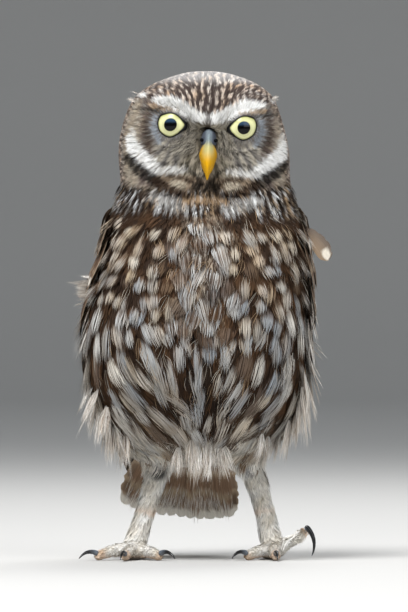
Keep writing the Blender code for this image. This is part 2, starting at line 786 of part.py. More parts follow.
def make_claws(side, parts, material):
    made = []
    for toe in TOES[side]:
        _, claw_line = toe_stations(side, toe)
        name = f"claw_{SIDE_NAMES[side]}_{toe[0]}"
        made.append(object_of(name, limb_form(claw_line, 6, 6), parts, material))
    return made


def smooth_shade(obj):
    obj.data.shade_smooth()
    obj.data.set_sharp_from_angle(angle=math.radians(38))


def main():
    clear_scene()
    parts = make_collection("little_owl")
    cutters = make_collection("cutters")
    cutters.hide_render = True

    face_down = make_material("pale_face_down", (0.42, 0.37, 0.31), 0.9)
    breast = make_material("streaked_breast", (0.34, 0.28, 0.22), 0.9)
    flight = make_material("flight_feathers", (0.12, 0.08, 0.055), 0.7)
    leg_down = make_material("white_leg_down", (0.66, 0.62, 0.55), 0.9)
    horn = make_material("yellow_bill_horn", (0.72, 0.46, 0.06), 0.35)
    cere_skin = make_material("grey_cere_skin", (0.22, 0.24, 0.27), 0.5)
    eye_film = make_material("yellow_iris", (0.74, 0.72, 0.28), 0.08)
    claw_horn = make_material("dark_claw_horn", (0.05, 0.055, 0.07), 0.3)

    head = make_head(parts, face_down)
    neck_bm = body_form(TORSO_ROW_START, HEAD_ROW_END + 1, 8, 32)
    cut_above(neck_bm, HEAD_CUT, GAP)
    cut_below(neck_bm, NECK_CUT)
    neck = object_of("neck", neck_bm, parts, breast)
    torso_bm = body_form(TORSO_ROW_START, len(BODY_ROWS) - 1, 23, 30)
    cut_above(torso_bm, NECK_CUT, GAP)
    torso = object_of("torso", torso_bm, parts, breast)

    eyes = [make_eye(side, parts, eye_film) for side in (RIGHT, LEFT)]
    upper, cere, lower = make_bill(parts, horn, cere_skin)
    carve(upper, [cere], cutters)
    pierce_nostrils(cere, cutters)
    carve(lower, [upper], cutters)
    carve(head, [*eyes, upper, cere, lower], cutters)

    tail = make_tail_core(parts, flight)
    unite(tail, make_tail_feathers(parts), "MANIFOLD")
    carve(tail, [torso], cutters)
    for side in (RIGHT, LEFT):
        wing = make_wing_core(side, parts, flight)
        unite(wing, make_wing_feathers(side, parts), "MANIFOLD")
        carve(wing, [torso, neck], cutters)

    for side in (RIGHT, LEFT):
        name = SIDE_NAMES[side]
        thigh_bm = limb_form(rounded(THIGHS[side]), 9, 12)
        thigh = object_of("thigh_" + name, thigh_bm, parts, leg_down)
        carve(thigh, [torso], cutters)
        shank_bm = limb_form(rounded(SHANKS[side]), 10, 10)
        shank = object_of("tarsus_" + name, shank_bm, parts, leg_down)
        carve(shank, [thigh], cutters)
        foot = make_foot(side, parts, leg_down)
        carve(foot, [shank], cutters)
        claws = make_claws(side, parts, claw_horn)
        carve(foot, claws, cutters)

    for obj in parts.objects:
        obj.data.transform(Matrix.Translation(-ORIGIN))
        smooth_shade(obj)


main()
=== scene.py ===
"""Looks of a little owl: its skin, plumage, eyes, bill and claws, on a pale studio floor.

The bird faces -Y and +Z is up. Places and sizes are in millimetres in the drawing frame of the
solids, whose origin lies at ORIGIN of that frame, and become metres when a mesh is made.
"""

import functools
import math

import bmesh
import bpy
import numpy as np
from bpy.props import FloatProperty, FloatVectorProperty, PointerProperty
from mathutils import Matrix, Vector
from mathutils.bvhtree import BVHTree
from mathutils.kdtree import KDTree


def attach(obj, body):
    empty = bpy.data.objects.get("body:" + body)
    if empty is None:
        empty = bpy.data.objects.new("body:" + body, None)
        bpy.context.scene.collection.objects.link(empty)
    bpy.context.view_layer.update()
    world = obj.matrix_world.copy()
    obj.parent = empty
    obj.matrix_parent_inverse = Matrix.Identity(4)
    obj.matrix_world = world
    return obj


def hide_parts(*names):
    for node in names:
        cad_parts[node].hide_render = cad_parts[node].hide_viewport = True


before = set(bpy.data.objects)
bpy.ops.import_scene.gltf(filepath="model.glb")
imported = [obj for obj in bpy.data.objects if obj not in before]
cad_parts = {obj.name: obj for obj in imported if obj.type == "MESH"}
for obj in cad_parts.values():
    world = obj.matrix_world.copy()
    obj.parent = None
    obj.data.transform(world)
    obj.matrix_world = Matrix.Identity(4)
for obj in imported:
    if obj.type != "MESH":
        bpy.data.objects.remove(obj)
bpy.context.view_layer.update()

bl_info = {
    "name": "Little Owl",
    "version": (1, 0, 0),
    "blender": (4, 5, 0),
    "location": "3D View > Sidebar > Owl",
    "description": "Builds the looks of a standing little owl around its solids",
    "category": "Object",
}

MM = 0.001
ORIGIN = np.array((0.2, 12.6, 0.0))
RIGHT = -1
LEFT = 1
SIDE_NAMES = {RIGHT: "right", LEFT: "left"}
FLESH = (
    "head",
    "neck",
    "torso",
    "thigh_left",
    "thigh_right",
    "tarsus_left",
    "tarsus_right",
    "foot_left",
    "foot_right",
)

# The face's middle and its roll, and the eyes
FACE_MIDDLE = 1.7
EYE_HEIGHT = 185.8
HEAD_ROLL = math.radians(2.4)
EYE_SPACING = 31.0
EYE_SHIFTS = {RIGHT: -0.6, LEFT: -0.1}
EYE_RADIUS = 8.0
EYE_FRONT = -29.6
EYE_TURN = math.radians(9)
IRIS_RADIUS = 6.3
PUPIL_RADIUS = 2.8
# The lids' edge: angles from the eye's outer side over its top, and distances from its middle
LID_EDGE = (
    (-5, 5.4),
    (18, 5.75),
    (38, 5.9),
    (60, 5.15),
    (90, 4.8),
    (115, 4.6),
    (138, 4.55),
    (160, 5.0),
    (180, 5.8),
    (198, 5.3),
    (214, 4.8),
    (242, 4.7),
    (270, 5.0),
    (306, 4.9),
    (335, 5.25),
    (355, 5.4),
)
LID_REACH = 7.9
# Tufts round a lid: how many in a row, and each row's distance from the lid's rim and its length
LID_TUFTS = 70
LID_TUFT_ROWS = ((0.0, 2.4), (0.5, 2.8), (1.1, 3.2), (1.8, 3.6), (2.6, 3.6), (3.5, 3.4))
BROW_LINE = ((2.0, 3.0, 1.6), (5.5, 3.9, 2.0), (10.5, 7.2, 2.4), (16.0, 9.5, 2.6), (24.0, 10.6, 1.6))
BILL_ROOT = np.array((1.7, -30.0, 184.0))
BILL_SHIFT = 0.6
# Across from the bill's middle, up from the eyes, and the depth
NOSTRIL_PLACE = (3.0, -6.0, -31.4)
# Bill pieces as rows of height, front line, half width and depth behind the front line
BILL_ROWS = (
    (182.6, -31.4, 1.4, 6.5),
    (180.4, -33.8, 1.9, 9.0),
    (178.0, -35.6, 2.7, 10.5),
    (175.6, -37.2, 3.9, 11.0),
    (173.2, -38.3, 4.5, 10.5),
    (170.4, -39.0, 3.6, 9.0),
    (167.8, -39.0, 2.2, 6.5),
    (165.2, -38.1, 1.2, 3.6),
    (162.9, -36.8, 0.3, 0.8),
)
CERE_ROWS = (
    (184.6, -28.8, 1.4, 4.0),
    (183.2, -30.8, 2.8, 6.0),
    (181.4, -32.2, 3.5, 7.5),
    (179.6, -33.1, 3.8, 8.0),
    (177.9, -33.3, 3.6, 7.5),
)
LOWER_BILL_ROWS = (
    (172.6, -30.0, 3.4, 4.0),
    (169.6, -31.6, 3.0, 5.0),
    (167.0, -33.0, 2.0, 4.5),
    (165.0, -33.8, 0.8, 2.5),
)

# The form that both wings lie on: height, middle x, middle y, half width, half depth,
# and the angles of a wing's front and back edges, from the side towards the back
WING_ROWS = (
    (151.0, 0.5, -2.5, 39.4, 29.6, -4, 44),
    (144.0, 0.5, -3.0, 43.0, 33.4, -18, 58),
    (132.0, 0.2, -3.0, 45.8, 37.8, -20, 64),
    (118.0, -1.2, -2.0, 48.6, 41.2, -16, 69),
    (103.0, -2.6, -0.5, 49.8, 43.2, -8, 74),
    (88.0, -3.0, 2.5, 49.4, 43.4, 0, 78),
    (73.0, -3.8, 8.5, 46.8, 41.6, 10, 81),
    (58.0, -5.4, 17.5, 41.0, 38.0, 20, 82),
    (44.0, -8.4, 28.0, 32.5, 31.0, 30, 81),
    (33.0, -11.0, 38.0, 26.5, 24.5, 38, 78),
    (26.0, -12.6, 44.5, 23.0, 20.5, 46, 73),
)
WING_SQUARENESS = 2.35
STRAY_FEATHER = ((38.5, -6.0, 141.0), (45.5, -8.5, 139.0), (50.3, -10.0, 134.5), (53.2, -11.0, 128.6))
TAIL_ROOT = np.array((-3.5, 33.0, 74.0))
TAIL_TIP = np.array((-13.0, 66.0, 14.5))
TAIL_HALF_WIDTHS = (11.0, 24.0)
TAIL_ROUNDING = 6.0
TAIL_ARCH = 5.1
TAIL_FEATHERS = 12
TAIL_COVERTS = 7
TAIL_TUFTS = 24
# Where tracts of plumage meet: heights, depths, and angles round the body from the breast's middle
BREAST_BASE = 101
FLANK_ANGLE, FLANK_TOP = 0.85, 118
BACK_ANGLE, BACK_BASE = 1.75, 50
VENT_TOP = 54
RUMP_DEPTH, RUMP_TOP = 12, 66
COLLAR_BASE = -40
FACE_DEPTH = -9
LEG_TOP, LEG_RADIUS = 43.5, 8.5
TOE_TOP = 9.5
SHANKS = {
    RIGHT: ((-18.8, 7.0, 44.0), (-21.0, 5.5, 35.0), (-24.5, 3.5, 23.0), (-29.5, 0.5, 6.0)),
    LEFT: ((18.5, 8.5, 44.0), (21.5, 9.0, 36.0), (25.0, 7.0, 25.0), (28.8, 4.0, 6.0)),
}
FOOT_HUBS = {RIGHT: np.array((-30.0, 0.0, 4.0)), LEFT: np.array((29.5, 3.0, 4.0))}

# Tracts of fine plumage: the space between roots, the length and half width of a tuft, its
# strands, the lift of its tip, its curl, how far its lie strays, and how deep the skin lies
TRACTS = {
    "crown": (1.15, 6.0, 0.95, 6, 0.1, 0.12, 0.08, 1.6),
    "face": (0.82, 4.4, 0.45, 5, 0.3, 0.16, 0.1, 1.0),
    "brow": (0.75, 5.4, 0.6, 5, 0.8, 0.2, 0.12, 1.0),
    "collar": (1.35, 8.5, 1.3, 7, 0.6, 0.15, 0.14, 1.8),
    "breast": (2.9, 11.0, 2.2, 7, -0.6, 0.15, 0.14, 2.8),
    "belly": (3.0, 13.0, 2.4, 7, -0.6, 0.2, 0.16, 3.0),
    "flank": (3.0, 14.0, 2.4, 7, -0.4, 0.2, 0.16, 3.0),
    "mantle": (3.2, 11.0, 2.4, 7, -0.6, 0.1, 0.1, 2.6),
    "vent": (1.8, 13.0, 2.0, 8, 1.2, 0.3, 0.22, 2.6),
    "shank": (1.0, 4.2, 0.6, 5, 0.35, 0.16, 0.12, 0.6),
    "toe": (1.05, 2.2, 0.45, 4, 0.2, 0.3, 0.3, 0.35),
}
# How dark a tuft is at its root, as a share of its tone: the dark down at a feather's base and painted shade
# between the tufts; and where that differs
ROOT_TONE = 0.6
ROOT_TONES = {"brow": 1.0, "face": 0.8, "shank": 0.85, "toe": 0.85}
# Contour feathers over them: the space between roots, how much that space is stretched along the
# body, and the length, half width, strands, lift and curl of a feather
CONTOURS = {
    "breast": (4.8, 0.8, 15.0, 4.3, 35, 0.9, 0.08),
    "belly": (5.5, 0.6, 22.0, 4.7, 41, 1.4, 0.1),
    "flank": (5.8, 0.6, 24.0, 4.9, 41, 1.7, 0.1),
    "mantle": (5.2, 0.85, 15.0, 5.0, 21, 0.7, 0.06),
    "nape": (4.0, 0.9, 15.0, 3.2, 17, 1.3, 0.06),
}
# Stray barbs: the heights between which they grow, and the space between their roots
BARB_HEIGHTS = (46, 156)
BARB_SPACING = 5.5
# Heights of the hem's top and the neck, and how far out the bends of the wings lie
HEM_TOP = 92
NECK_HEIGHT = 150
WING_BEND = 47.9
# Tufts that stand out from the outline: root, direction, length, half width
WISPS = (
    ((-48, -8, 118), (-1.0, -0.2, 0.3), 8.5, 2.1),
    ((-48, -9, 115), (-1.0, -0.3, 0.1), 8.5, 2.1),
    ((-47.8, -8, 116.5), (-1.0, -0.2, 0.3), 12.3, 0.7),
    ((-47, -8, 120), (-1.0, -0.1, 0.4), 8, 1.7),
    ((-46, -6, 112), (-0.9, -0.2, -0.3), 8.5, 1.8),
    ((-46, -3, 80), (-0.3, -0.1, -1), 15, 2.6),
    ((-46, -4, 74), (-0.3, -0.1, -1), 17, 3.0),
    ((-44.5, -5, 68), (-0.2, -0.1, -1), 18, 3.2),
    ((-42, -7, 63), (-0.05, -0.1, -1), 18, 3.2),
    ((-39, -8, 58), (0.0, -0.1, -1), 17, 3.0),
    ((-34, -9, 53), (0.1, -0.1, -1), 14, 2.8),
    ((46, -2, 94), (0.7, -0.2, -0.6), 9, 1.6),
    ((46, -4, 87), (0.5, -0.2, -1), 11, 1.8),
    ((45.5, -3, 82), (0.15, -0.1, -1), 16, 2.8),
    ((45, -5, 77), (0.15, -0.1, -1), 19, 3.3),
    ((43, -6, 72), (0.05, -0.1, -1), 20, 3.5),
    ((41, -7, 66), (-0.05, -0.1, -1), 18, 3.3),
    ((38, -8, 60), (-0.2, -0.1, -1), 16, 3.0),
    ((33, -8, 54), (-0.35, -0.1, -1), 13, 2.6),
    ((27, -8, 50), (-0.35, -0.1, -1), 11, 2.2),
    ((-4, -9, 50), (0.0, -0.1, -1), 14, 2.6),
    ((2, -9, 50), (0.0, -0.1, -1), 14, 2.6),
    ((7, -8, 50), (0.1, -0.1, -1), 12, 2.4),
    ((-10, -8, 50), (-0.1, -0.1, -1), 11, 2.2),
    ((-30.5, -12, 198.0), (-1.0, -0.2, 0.3), 3.6, 1.1),
    ((-28.5, -12, 200.5), (-0.8, -0.2, 0.45), 3.6, 1.1),
    ((29.0, -12, 196.5), (0.9, -0.2, 0.4), 3.2, 1.0),
)
STRAND_ROWS = 5
SEED = 11
# The remeshed flesh: the size of its cells, and how far the solids are grown to join
FLESH_VOXEL = 0.9 * MM
FLESH_OVERLAP = 0.28 * MM
# A tuft's own patch of the unwrapped coat, as a share of its side
PATCH = 0.003
# Name, roughness, and number and strength of the barbs of the flight feathers' material
FLIGHT_FEATHER = ("flight feather", 0.7, 30.0, 0.1)


def srgb(code):
    """A linear colour from a hex code of sRGB."""
    values = np.array([int(code[i : i + 2], 16) / 255 for i in (1, 3, 5)])
    return np.where(values <= 0.04045, values / 12.92, ((values + 0.055) / 1.055) ** 2.4)


def smooth(low, high, values):
    """0 below low, 1 above high, and smooth between them."""
    t = np.clip((values - low) / (high - low), 0, 1)
    return t * t * (3 - 2 * t)


def mix(first, second, share):
    return first + (second - first) * np.asarray(share)[..., None]


WHITE = srgb("#fcfcfa")
CREAM = srgb("#cfc3ac")
BUFF = srgb("#aa9071")
GREY = srgb("#96948f")
SLATE = srgb("#8b939c")
LILAC = srgb("#62585a")
CROWN_BROWN = srgb("#51453f")
BACK_BROWN = srgb("#63472f")
DARK_BROWN = srgb("#302218")
BLACK_BROWN = srgb("#100c0a")
DOWN_GREY = srgb("#5a5757")
LID_BLACK = srgb("#0b0a0a")

# The longer marks of the face: the white brow, the line under the cheek, and the dark ruff
BROW_BAND = ((0.0, 3.0, 1.9), (5.5, 3.9, 2.5), (10.5, 7.0, 2.7), (16.0, 9.3, 2.8), (22.5, 10.3, 1.6))
CHEEK_LINE = (
    (19.0, -16.5, 0.3),
    (13.0, -15.8, 0.45),
    (8.0, -17.8, 0.6),
    (4.5, -21.2, 1.0),
    (1.5, -24.5, 1.3),
)
RUFF_LINE = ((34.0, -14.8, 1.9), (29.5, -18.9, 2.5), (25.5, -21.8, 2.5), (21.0, -24.6, 2.5))
# Marks of the face, painted in this order: tone, strength, how much the coat breaks it up, and
# a line of places across from the face's middle and up from the eyes, with half thicknesses
FACE_MARKS = (
    (DARK_BROWN, 0.75, 0.7, ((25.0, 5.5, 1.0), (27.0, -1.0, 1.9), (25.0, -9.0, 1.7))),
    (SLATE, 0.8, 0.4, ((22.4, 3.0, 1.0), (23.0, -2.0, 1.4), (20.5, -7.5, 1.2))),
    (BLACK_BROWN, 0.7, 0.5, ((19.5, 5.0, 0.5), (24.5, 6.2, 1.0), (29.5, 6.6, 0.9))),
    (BLACK_BROWN, 0.6, 0.8, ((9.5, -1.5, 0.9), (12.0, -5.5, 0.9), (16.0, -9.0, 0.4))),
    (DARK_BROWN, 0.4, 0.8, ((5.0, -10.0, 1.1), (9.5, -12.3, 1.0))),
    (WHITE, 0.55, 0.6, ((31.5, -8.0, 1.6), (32.5, -2.5, 1.2))),
    (WHITE, 1.0, 0.4, BROW_BAND),
    (BUFF, 0.75, 0.6, ((13.0, 6.2, 0.5), (19.0, 6.9, 1.0), (24.0, 7.6, 0.9))),
    (WHITE, 0.85, 0.7, ((27.5, 12.6, 0.9), (33.5, 13.6, 1.5))),
    (DARK_BROWN, 0.8, 0.5, ((0.4, 5.2, 0.7), (0.6, 0.0, 0.8), (0.9, -2.4, 1.4))),
    (WHITE, 1.0, 0.5, ((33.5, -6.0, 1.6), (31.5, -10.8, 3.2), (27.5, -14.9, 3.3), (22.5, -18.0, 2.4))),
    (mix(WHITE, GREY, 0.3), 0.9, 0.6, ((23.0, -20.3, 1.7), (16.0, -19.4, 1.6), (9.5, -19.2, 1.1))),
    (BLACK_BROWN, 0.85, 0.4, CHEEK_LINE),
    (DARK_BROWN, 0.9, 0.5, ((15.5, -22.0, 0.6), (10.0, -22.6, 0.8), (5.5, -24.4, 1.1))),
    (mix(CREAM, GREY, 0.3), 0.95, 0.5, ((13.8, -25.0, 1.5), (9.8, -25.4, 1.7))),
    (BLACK_BROWN, 0.95, 0.5, ((0.5, -26.3, 2.6), (4.2, -26.3, 2.1))),
    (BLACK_BROWN, 0.95, 0.5, RUFF_LINE),
    (DARK_BROWN, 0.95, 0.6, ((21.0, -24.6, 2.5), (16.0, -27.2, 2.2), (11.0, -29.2, 1.9), (6.5, -29.8, 1.4))),
    (mix(BUFF, BACK_BROWN, 0.3), 0.9, 0.7, ((0.0, -31.2, 2.3), (8.5, -32.0, 1.7))),
    (mix(WHITE, GREY, 0.7), 0.55, 1.0, ((8.5, -35.2, 2.0), (15.0, -33.6, 3.0), (23.0, -30.8, 2.2))),
)


def unit(vectors):
    return vectors / np.maximum(np.linalg.norm(vectors, axis=-1, keepdims=True), 1e-9)


def hash_of(i, j, seed):
    """A number from 0 to 1 that looks random, for each pair of whole numbers."""
    value = np.sin(i * 127.1 + j * 311.7 + seed * 74.7) * 43758.5453
    return value - np.floor(value)


def ripple(points, size, seed):
    """A smooth wandering value from about -1 to 1 at each point."""
    rng = np.random.default_rng(seed)
    total = np.zeros(points.shape[:-1])
    for _ in range(4):
        direction = unit(rng.normal(size=3)) * rng.uniform(0.7, 1.5) * 2 * math.pi / size
        total += np.sin(points @ direction + rng.uniform(0, 6.3))
    return total / 2.6


def cells(across, up, width, height, seed):
    """Offsets from the middle of the nearest cell of a staggered pattern, and its chance value."""
    best = np.full(across.shape, np.inf)
    found = [np.zeros(across.shape) for _ in range(3)]
    for down in (-1, 0, 1):
        row = np.floor(up / height) + down
        shift = 0.5 * (row % 2)
        for side in (-1, 0, 1):
            column = np.floor(across / width - shift) + side
            here = across - (column + 0.5 + shift + 0.3 * (hash_of(column, row, seed) - 0.5)) * width
            there = up - (row + 0.5 + 0.3 * (hash_of(row, column, seed + 1) - 0.5)) * height
            distance = (here / width) ** 2 + (there / height) ** 2
            closer = distance < best
            best = np.where(closer, distance, best)
            chance = hash_of(column, row, seed + 2)
            for value, kept in zip((here, there, chance), found):
                kept[closer] = value[closer]
    return found


def spots(across, up, cell, half_sizes, seed, kept=1.0, softness=0.35):
    """Oval spots in a staggered pattern, 1 inside and 0 outside."""
    here, there, chance = cells(across, up, *cell, seed)
    size = 0.75 + 0.5 * hash_of(chance * 97, chance * 31, seed + 3)
    reach = np.hypot(here / (half_sizes[0] * size), there / (half_sizes[1] * size))
    return (1 - smooth(1 - softness, 1 + softness, reach)) * (chance < kept)


def along(rows, places):
    """Rows at places along them, on a smooth curve."""
    rows = np.asarray(rows, float)
    last = len(rows) - 1
    places = np.clip(places, 0, last)
    start = np.minimum(places.astype(int), last - 1)
    t = (places - start)[..., None]
    before, here, there, after = (rows[np.clip(start + i, 0, last)] for i in (-1, 0, 1, 2))
    return 0.5 * (
        2 * here
        + (there - before) * t
        + (2 * before - 5 * here + 4 * there - after) * t * t
        + (3 * here - before - 3 * there + after) * t**3
    )


def face_axes(points):
    """Across and up on the face, from its middle at eye height."""
    across, up = points[..., 0] - FACE_MIDDLE, points[..., 2] - EYE_HEIGHT
    c, s = math.cos(HEAD_ROLL), math.sin(HEAD_ROLL)
    return across * c - up * s, across * s + up * c


def face_point(across, up, y):
    c, s = math.cos(HEAD_ROLL), math.sin(HEAD_ROLL)
    return np.array((FACE_MIDDLE + across * c + up * s, y, EYE_HEIGHT + up * c - across * s))


def eye_direction(side):
    return np.array((side * math.sin(EYE_TURN), -math.cos(EYE_TURN), 0.0))


def eye_middle(side):
    across = side * EYE_SPACING / 2 + EYE_SHIFTS[side]
    return face_point(across, 0, EYE_FRONT) - eye_direction(side) * EYE_RADIUS


def line_reach(across, up, line):
    """How far each place lies outside a line that has a thickness."""
    best = np.full(across.shape, np.inf)
    for (ax, ay, ar), (bx, by, br) in zip(line, line[1:]):
        run = np.array((bx - ax, by - ay))
        t = np.clip(((across - ax) * run[0] + (up - ay) * run[1]) / (run @ run), 0, 1)
        best = np.minimum(best, np.hypot(across - ax - run[0] * t, up - ay - run[1] * t) - ar - (br - ar) * t)
    return best


def head_share(points):
    """1 on the head, 0 below the tilted line where the neck starts."""
    line = 158 + (points[..., 1] + 30) * 11 / 52
    return smooth(-2, 2, points[..., 2] - line)


def round_body(points):
    """The arc round the body from the front's middle, in millimetres, and the angle."""
    angle = np.arctan2(points[..., 0] + 1.5, -(points[..., 1] - 1))
    return angle * 44, angle


def crown_colour(points):
    """Cream streaks on dark brown that run back from the bill, broken like beads."""
    a, u = face_axes(points)
    wander, fine, finer = ripple(points, 9, 3), ripple(points, 2.6, 4), ripple(points, 1.4, 9)
    distance = np.linalg.norm(points - BILL_ROOT, axis=-1)
    line = np.arctan2(a, u + 3.5) * distance / (2.0 + 0.05 * distance) + 0.25 * ripple(points, 7, 5)
    streak = smooth(0.05, 0.65, np.cos(2 * math.pi * line) + 0.25 * finer)
    dash = smooth(-0.55, 0.15, ripple(points, 4.2, 6) + 0.45 * fine)
    side = smooth(14, 22, np.abs(a))
    dash = dash + (0.35 + 0.65 * smooth(-0.3, 0.5, fine) - dash) * 0.7 * side
    pale = mix(srgb("#dcc6b1"), WHITE, 0.2 + 0.3 * wander)
    dark = mix(CROWN_BROWN, mix(DARK_BROWN, LILAC, 0.25), 0.45 + 0.35 * wander)
    # Painted sheen: a pale lilac cast on the top of the head, where light from above falls
    painted_top_sheen = smooth(203, 208, points[..., 2]) * smooth(14, 2, points[..., 1]) * 0.4
    colour = mix(mix(dark, pale, 0.92 * streak * dash), mix(WHITE, LILAC, 0.3), painted_top_sheen)
    arc, _ = round_body(points)
    nape = smooth(6, 18, points[..., 1]) * smooth(192, 182, points[..., 2])
    dark = mix(BACK_BROWN, DARK_BROWN, 0.4 + 0.3 * wander)
    spot = spots(arc, points[..., 2], cell=(5.5, 6.5), half_sizes=(1.5, 2.1), seed=7, kept=0.85)
    spotted = mix(dark, mix(WHITE, CREAM, 0.4), 0.92 * spot)
    return mix(colour, spotted, nape)


def face_colour(points):
    """Markings of the face, from the brows to the chin."""
    a, u = face_axes(points)
    s = np.abs(a)
    wander, fine = ripple(points, 9, 3), ripple(points, 2.6, 4)
    eye_distance = np.hypot(s - EYE_SPACING / 2, u)
    around = np.arctan2(u, s - EYE_SPACING / 2)
    ray = np.cos(around * 34 + 3 * wander + 1.2 * fine)
    temple = mix(mix(BUFF, GREY, 0.7 + 0.3 * wander), mix(BACK_BROWN, LILAC, 0.7), 0.45 + 0.5 * ray)
    temple = mix(temple, CREAM, 0.4 * smooth(27, 31, s))
    disc = mix(mix(SLATE, GREY, 0.5), mix(DOWN_GREY, BUFF, 0.2), 0.4 + 0.45 * ray)
    colour = mix(temple, disc, smooth(12.5, 8.5, eye_distance))
    below = smooth(-4, -8, u) * smooth(25, 21, s)
    ray = np.cos(np.arctan2(s - 5, -(u - 3)) * 30 + wander + fine)
    colour = mix(colour, mix(mix(CREAM, GREY, 0.6), DOWN_GREY, 0.4 + 0.45 * ray), below)
    lores = smooth(12.5, 9, s) * smooth(3, 0, u)
    ray = np.cos(np.arctan2(a, -(u - 5)) * 34 + wander)
    lore = mix(mix(GREY, CREAM, 0.6), srgb("#534e3f"), 0.3 + 0.5 * smooth(-0.2, 0.9, ray))
    colour = mix(colour, lore, lores)
    chin = smooth(-20, -23, u) * smooth(26, 20, s)
    return mix(colour, mix(mix(BUFF, GREY, 0.3), DARK_BROWN, 0.3 + 0.35 * wander), chin)


def marked_face(points, colour):
    """The lines and patches of the face over a ground colour."""
    a, u = face_axes(points)
    fine = ripple(points, 2.3, 14) + 0.5 * ripple(points, 1.1, 15)
    streak = smooth(-0.9, 0.5, np.cos(np.arctan2(a, 12 - u) * 75 + 2 * ripple(points, 6, 16)) + fine)
    front = smooth(4, 12, -points[..., 1])
    for tone, strength, broken, line in FACE_MARKS:
        reach = line_reach(np.abs(a), u, line)
        mask = smooth(0.5, -0.5, reach + 0.9 * broken * fine)
        colour = mix(colour, tone, front * mask * strength * (1 - 0.45 * broken * (1 - streak)))
    rim = smooth(7.4, 6.4, np.hypot(np.abs(a) - EYE_SPACING / 2, u))
    return mix(colour, DARK_BROWN, 0.35 * front * rim)


def collar_colour(points):
    """Markings of the throat and neck, below the face."""
    wander, fine = ripple(points, 9, 31), ripple(points, 2.4, 32)
    arc, _ = round_body(points)
    streak = smooth(-0.2, 0.7, np.cos(arc * 1.5 + 2.2 * wander) + 0.5 * fine)
    ground = mix(DARK_BROWN, BLACK_BROWN, 0.3 + 0.2 * wander)
    pale = mix(mix(WHITE, SLATE, 0.4), BUFF, smooth(-0.2, 0.8, wander + 0.4 * fine))
    colour = mix(ground, pale, 0.85 * streak * smooth(-1.0, 0.1, ripple(points, 7, 34)))
    back = smooth(-4, 6, points[..., 1])
    ground = mix(BACK_BROWN, DARK_BROWN, 0.4 + 0.2 * wander)
    spot = spots(arc, points[..., 2], cell=(7, 8), half_sizes=(1.9, 2.6), seed=33, kept=0.9)
    return mix(colour, mix(ground, WHITE, 0.85 * spot), back)


def head_colour(points):
    a, u = face_axes(points)
    on_face = face_side(a, u) * smooth(8, 16, -points[..., 1])
    return mix(crown_colour(points), face_colour(points), on_face)


def face_side(a, u):
    """1 below the brows, 0 on the crown."""
    s = np.abs(a)
    line = np.interp(s, [row[0] for row in BROW_LINE], [row[1] for row in BROW_LINE])
    return smooth(1.0, -1.0, u - line) * smooth(14.5, 12.5, u)


def breast_colour(points):
    """Dark brown close to the skin, mixed with pale strands in the middle of the breast."""
    arc, _ = round_body(points)
    wander, fine = ripple(points, 16, 41), ripple(points, 2.2, 42)
    ground = mix(DARK_BROWN, BACK_BROWN, 0.25 + 0.25 * wander)
    middle = smooth(13, 7, np.abs(arc - 1))
    return mix(ground, mix(GREY, BUFF, 0.4 + 0.3 * wander), middle * smooth(-0.4, 0.6, fine) * 0.8)


def belly_colour(points):
    """Brown close to the skin, cream towards the legs."""
    z = points[..., 2]
    wander, fine = ripple(points, 12, 51), ripple(points, 2.4, 52)
    ground = mix(DARK_BROWN, BACK_BROWN, 0.3 + 0.3 * wander)
    pale = mix(CREAM, mix(WHITE, GREY, 0.5), 0.5 + 0.4 * fine)
    return mix(ground, pale, smooth(62, 50, z + 4 * wander) * 0.9)


def back_colour(points):
    """Brown with rounded pale spots."""
    arc, _ = round_body(points)
    wander = ripple(points, 18, 61)
    ground = mix(BACK_BROWN, DARK_BROWN, 0.3 + 0.25 * wander)
    spot = spots(arc, points[..., 2], cell=(9.5, 11.0), half_sizes=(2.3, 3.0), seed=63, kept=0.85)
    return mix(ground, mix(WHITE, CREAM, 0.6), 0.9 * spot)


def leg_colour(points):
    """Off-white down, ochre under the toes and at their ends, and a dark patch on one shank."""
    wander, fine = ripple(points, 9, 71), ripple(points, 2.0, 72)
    colour = mix(WHITE, CREAM, 0.3 + 0.25 * wander + 0.1 * fine)
    patch = np.exp(-(((points[..., 0] + 20) / 4.2) ** 2) - ((points[..., 2] - 37.5) / 4.0) ** 2)
    colour = mix(colour, srgb("#2b2a2c"), 0.85 * smooth(0.25, 0.7, patch) * smooth(9, 4, points[..., 1]))
    tip = smooth(14.5, 17.5, hub_distance(points)) * smooth(11, 7, points[..., 2])
    tip = np.maximum(tip, smooth(2.2, 1.0, points[..., 2]))
    tip = np.maximum(tip, smooth(15.5, 17.5, hub_distance(points)) * smooth(24, 18, points[..., 2]))
    return mix(colour, srgb("#c99250"), 0.5 * tip * smooth(3, 8, hub_distance(points)))


def hub_distance(points):
    return np.minimum(*(np.linalg.norm(points - FOOT_HUBS[side], axis=-1) for side in (RIGHT, LEFT)))


def plumage_colour(points):
    """The bird's markings at any place on it, used by its skin and its coat alike."""
    z = points[..., 2]
    _, angle = round_body(points)
    wobble = ripple(points, 11, 81) * 3
    head = head_share(points)
    _, u = face_axes(points)
    neck = smooth(-40, -36, u + 0.25 * wobble) * (1 - head)
    breast = smooth(94, 108, z + wobble) * (1 - head) * (1 - neck)
    back = smooth(1.75, 2.0, np.abs(angle)) * (1 - head) * (1 - neck) * smooth(52, 62, z)
    leg = smooth(45, 40, z)
    colour = belly_colour(points)
    colour = mix(colour, breast_colour(points), smooth(0, 1, breast))
    colour = mix(colour, back_colour(points), back)
    colour = mix(colour, collar_colour(points), neck)
    colour = mix(colour, head_colour(points), head)
    colour = marked_face(points, colour)
    return mix(colour, leg_colour(points), leg)


def to_metres(points):
    return (np.asarray(points, float) - ORIGIN) * MM


def to_drawing(points):
    return np.asarray(points, float) / MM + ORIGIN


def vertex_array(mesh, name="co"):
    values = np.empty(len(mesh.vertices) * 3, np.float32)
    mesh.vertices.foreach_get(name, values)
    return values.reshape(-1, 3).astype(float)


def mesh_from(bm, name):
    """A mesh from a bmesh, which is then freed."""
    mesh = bpy.data.meshes.new(name)
    bm.to_mesh(mesh)
    bm.free()
    return mesh


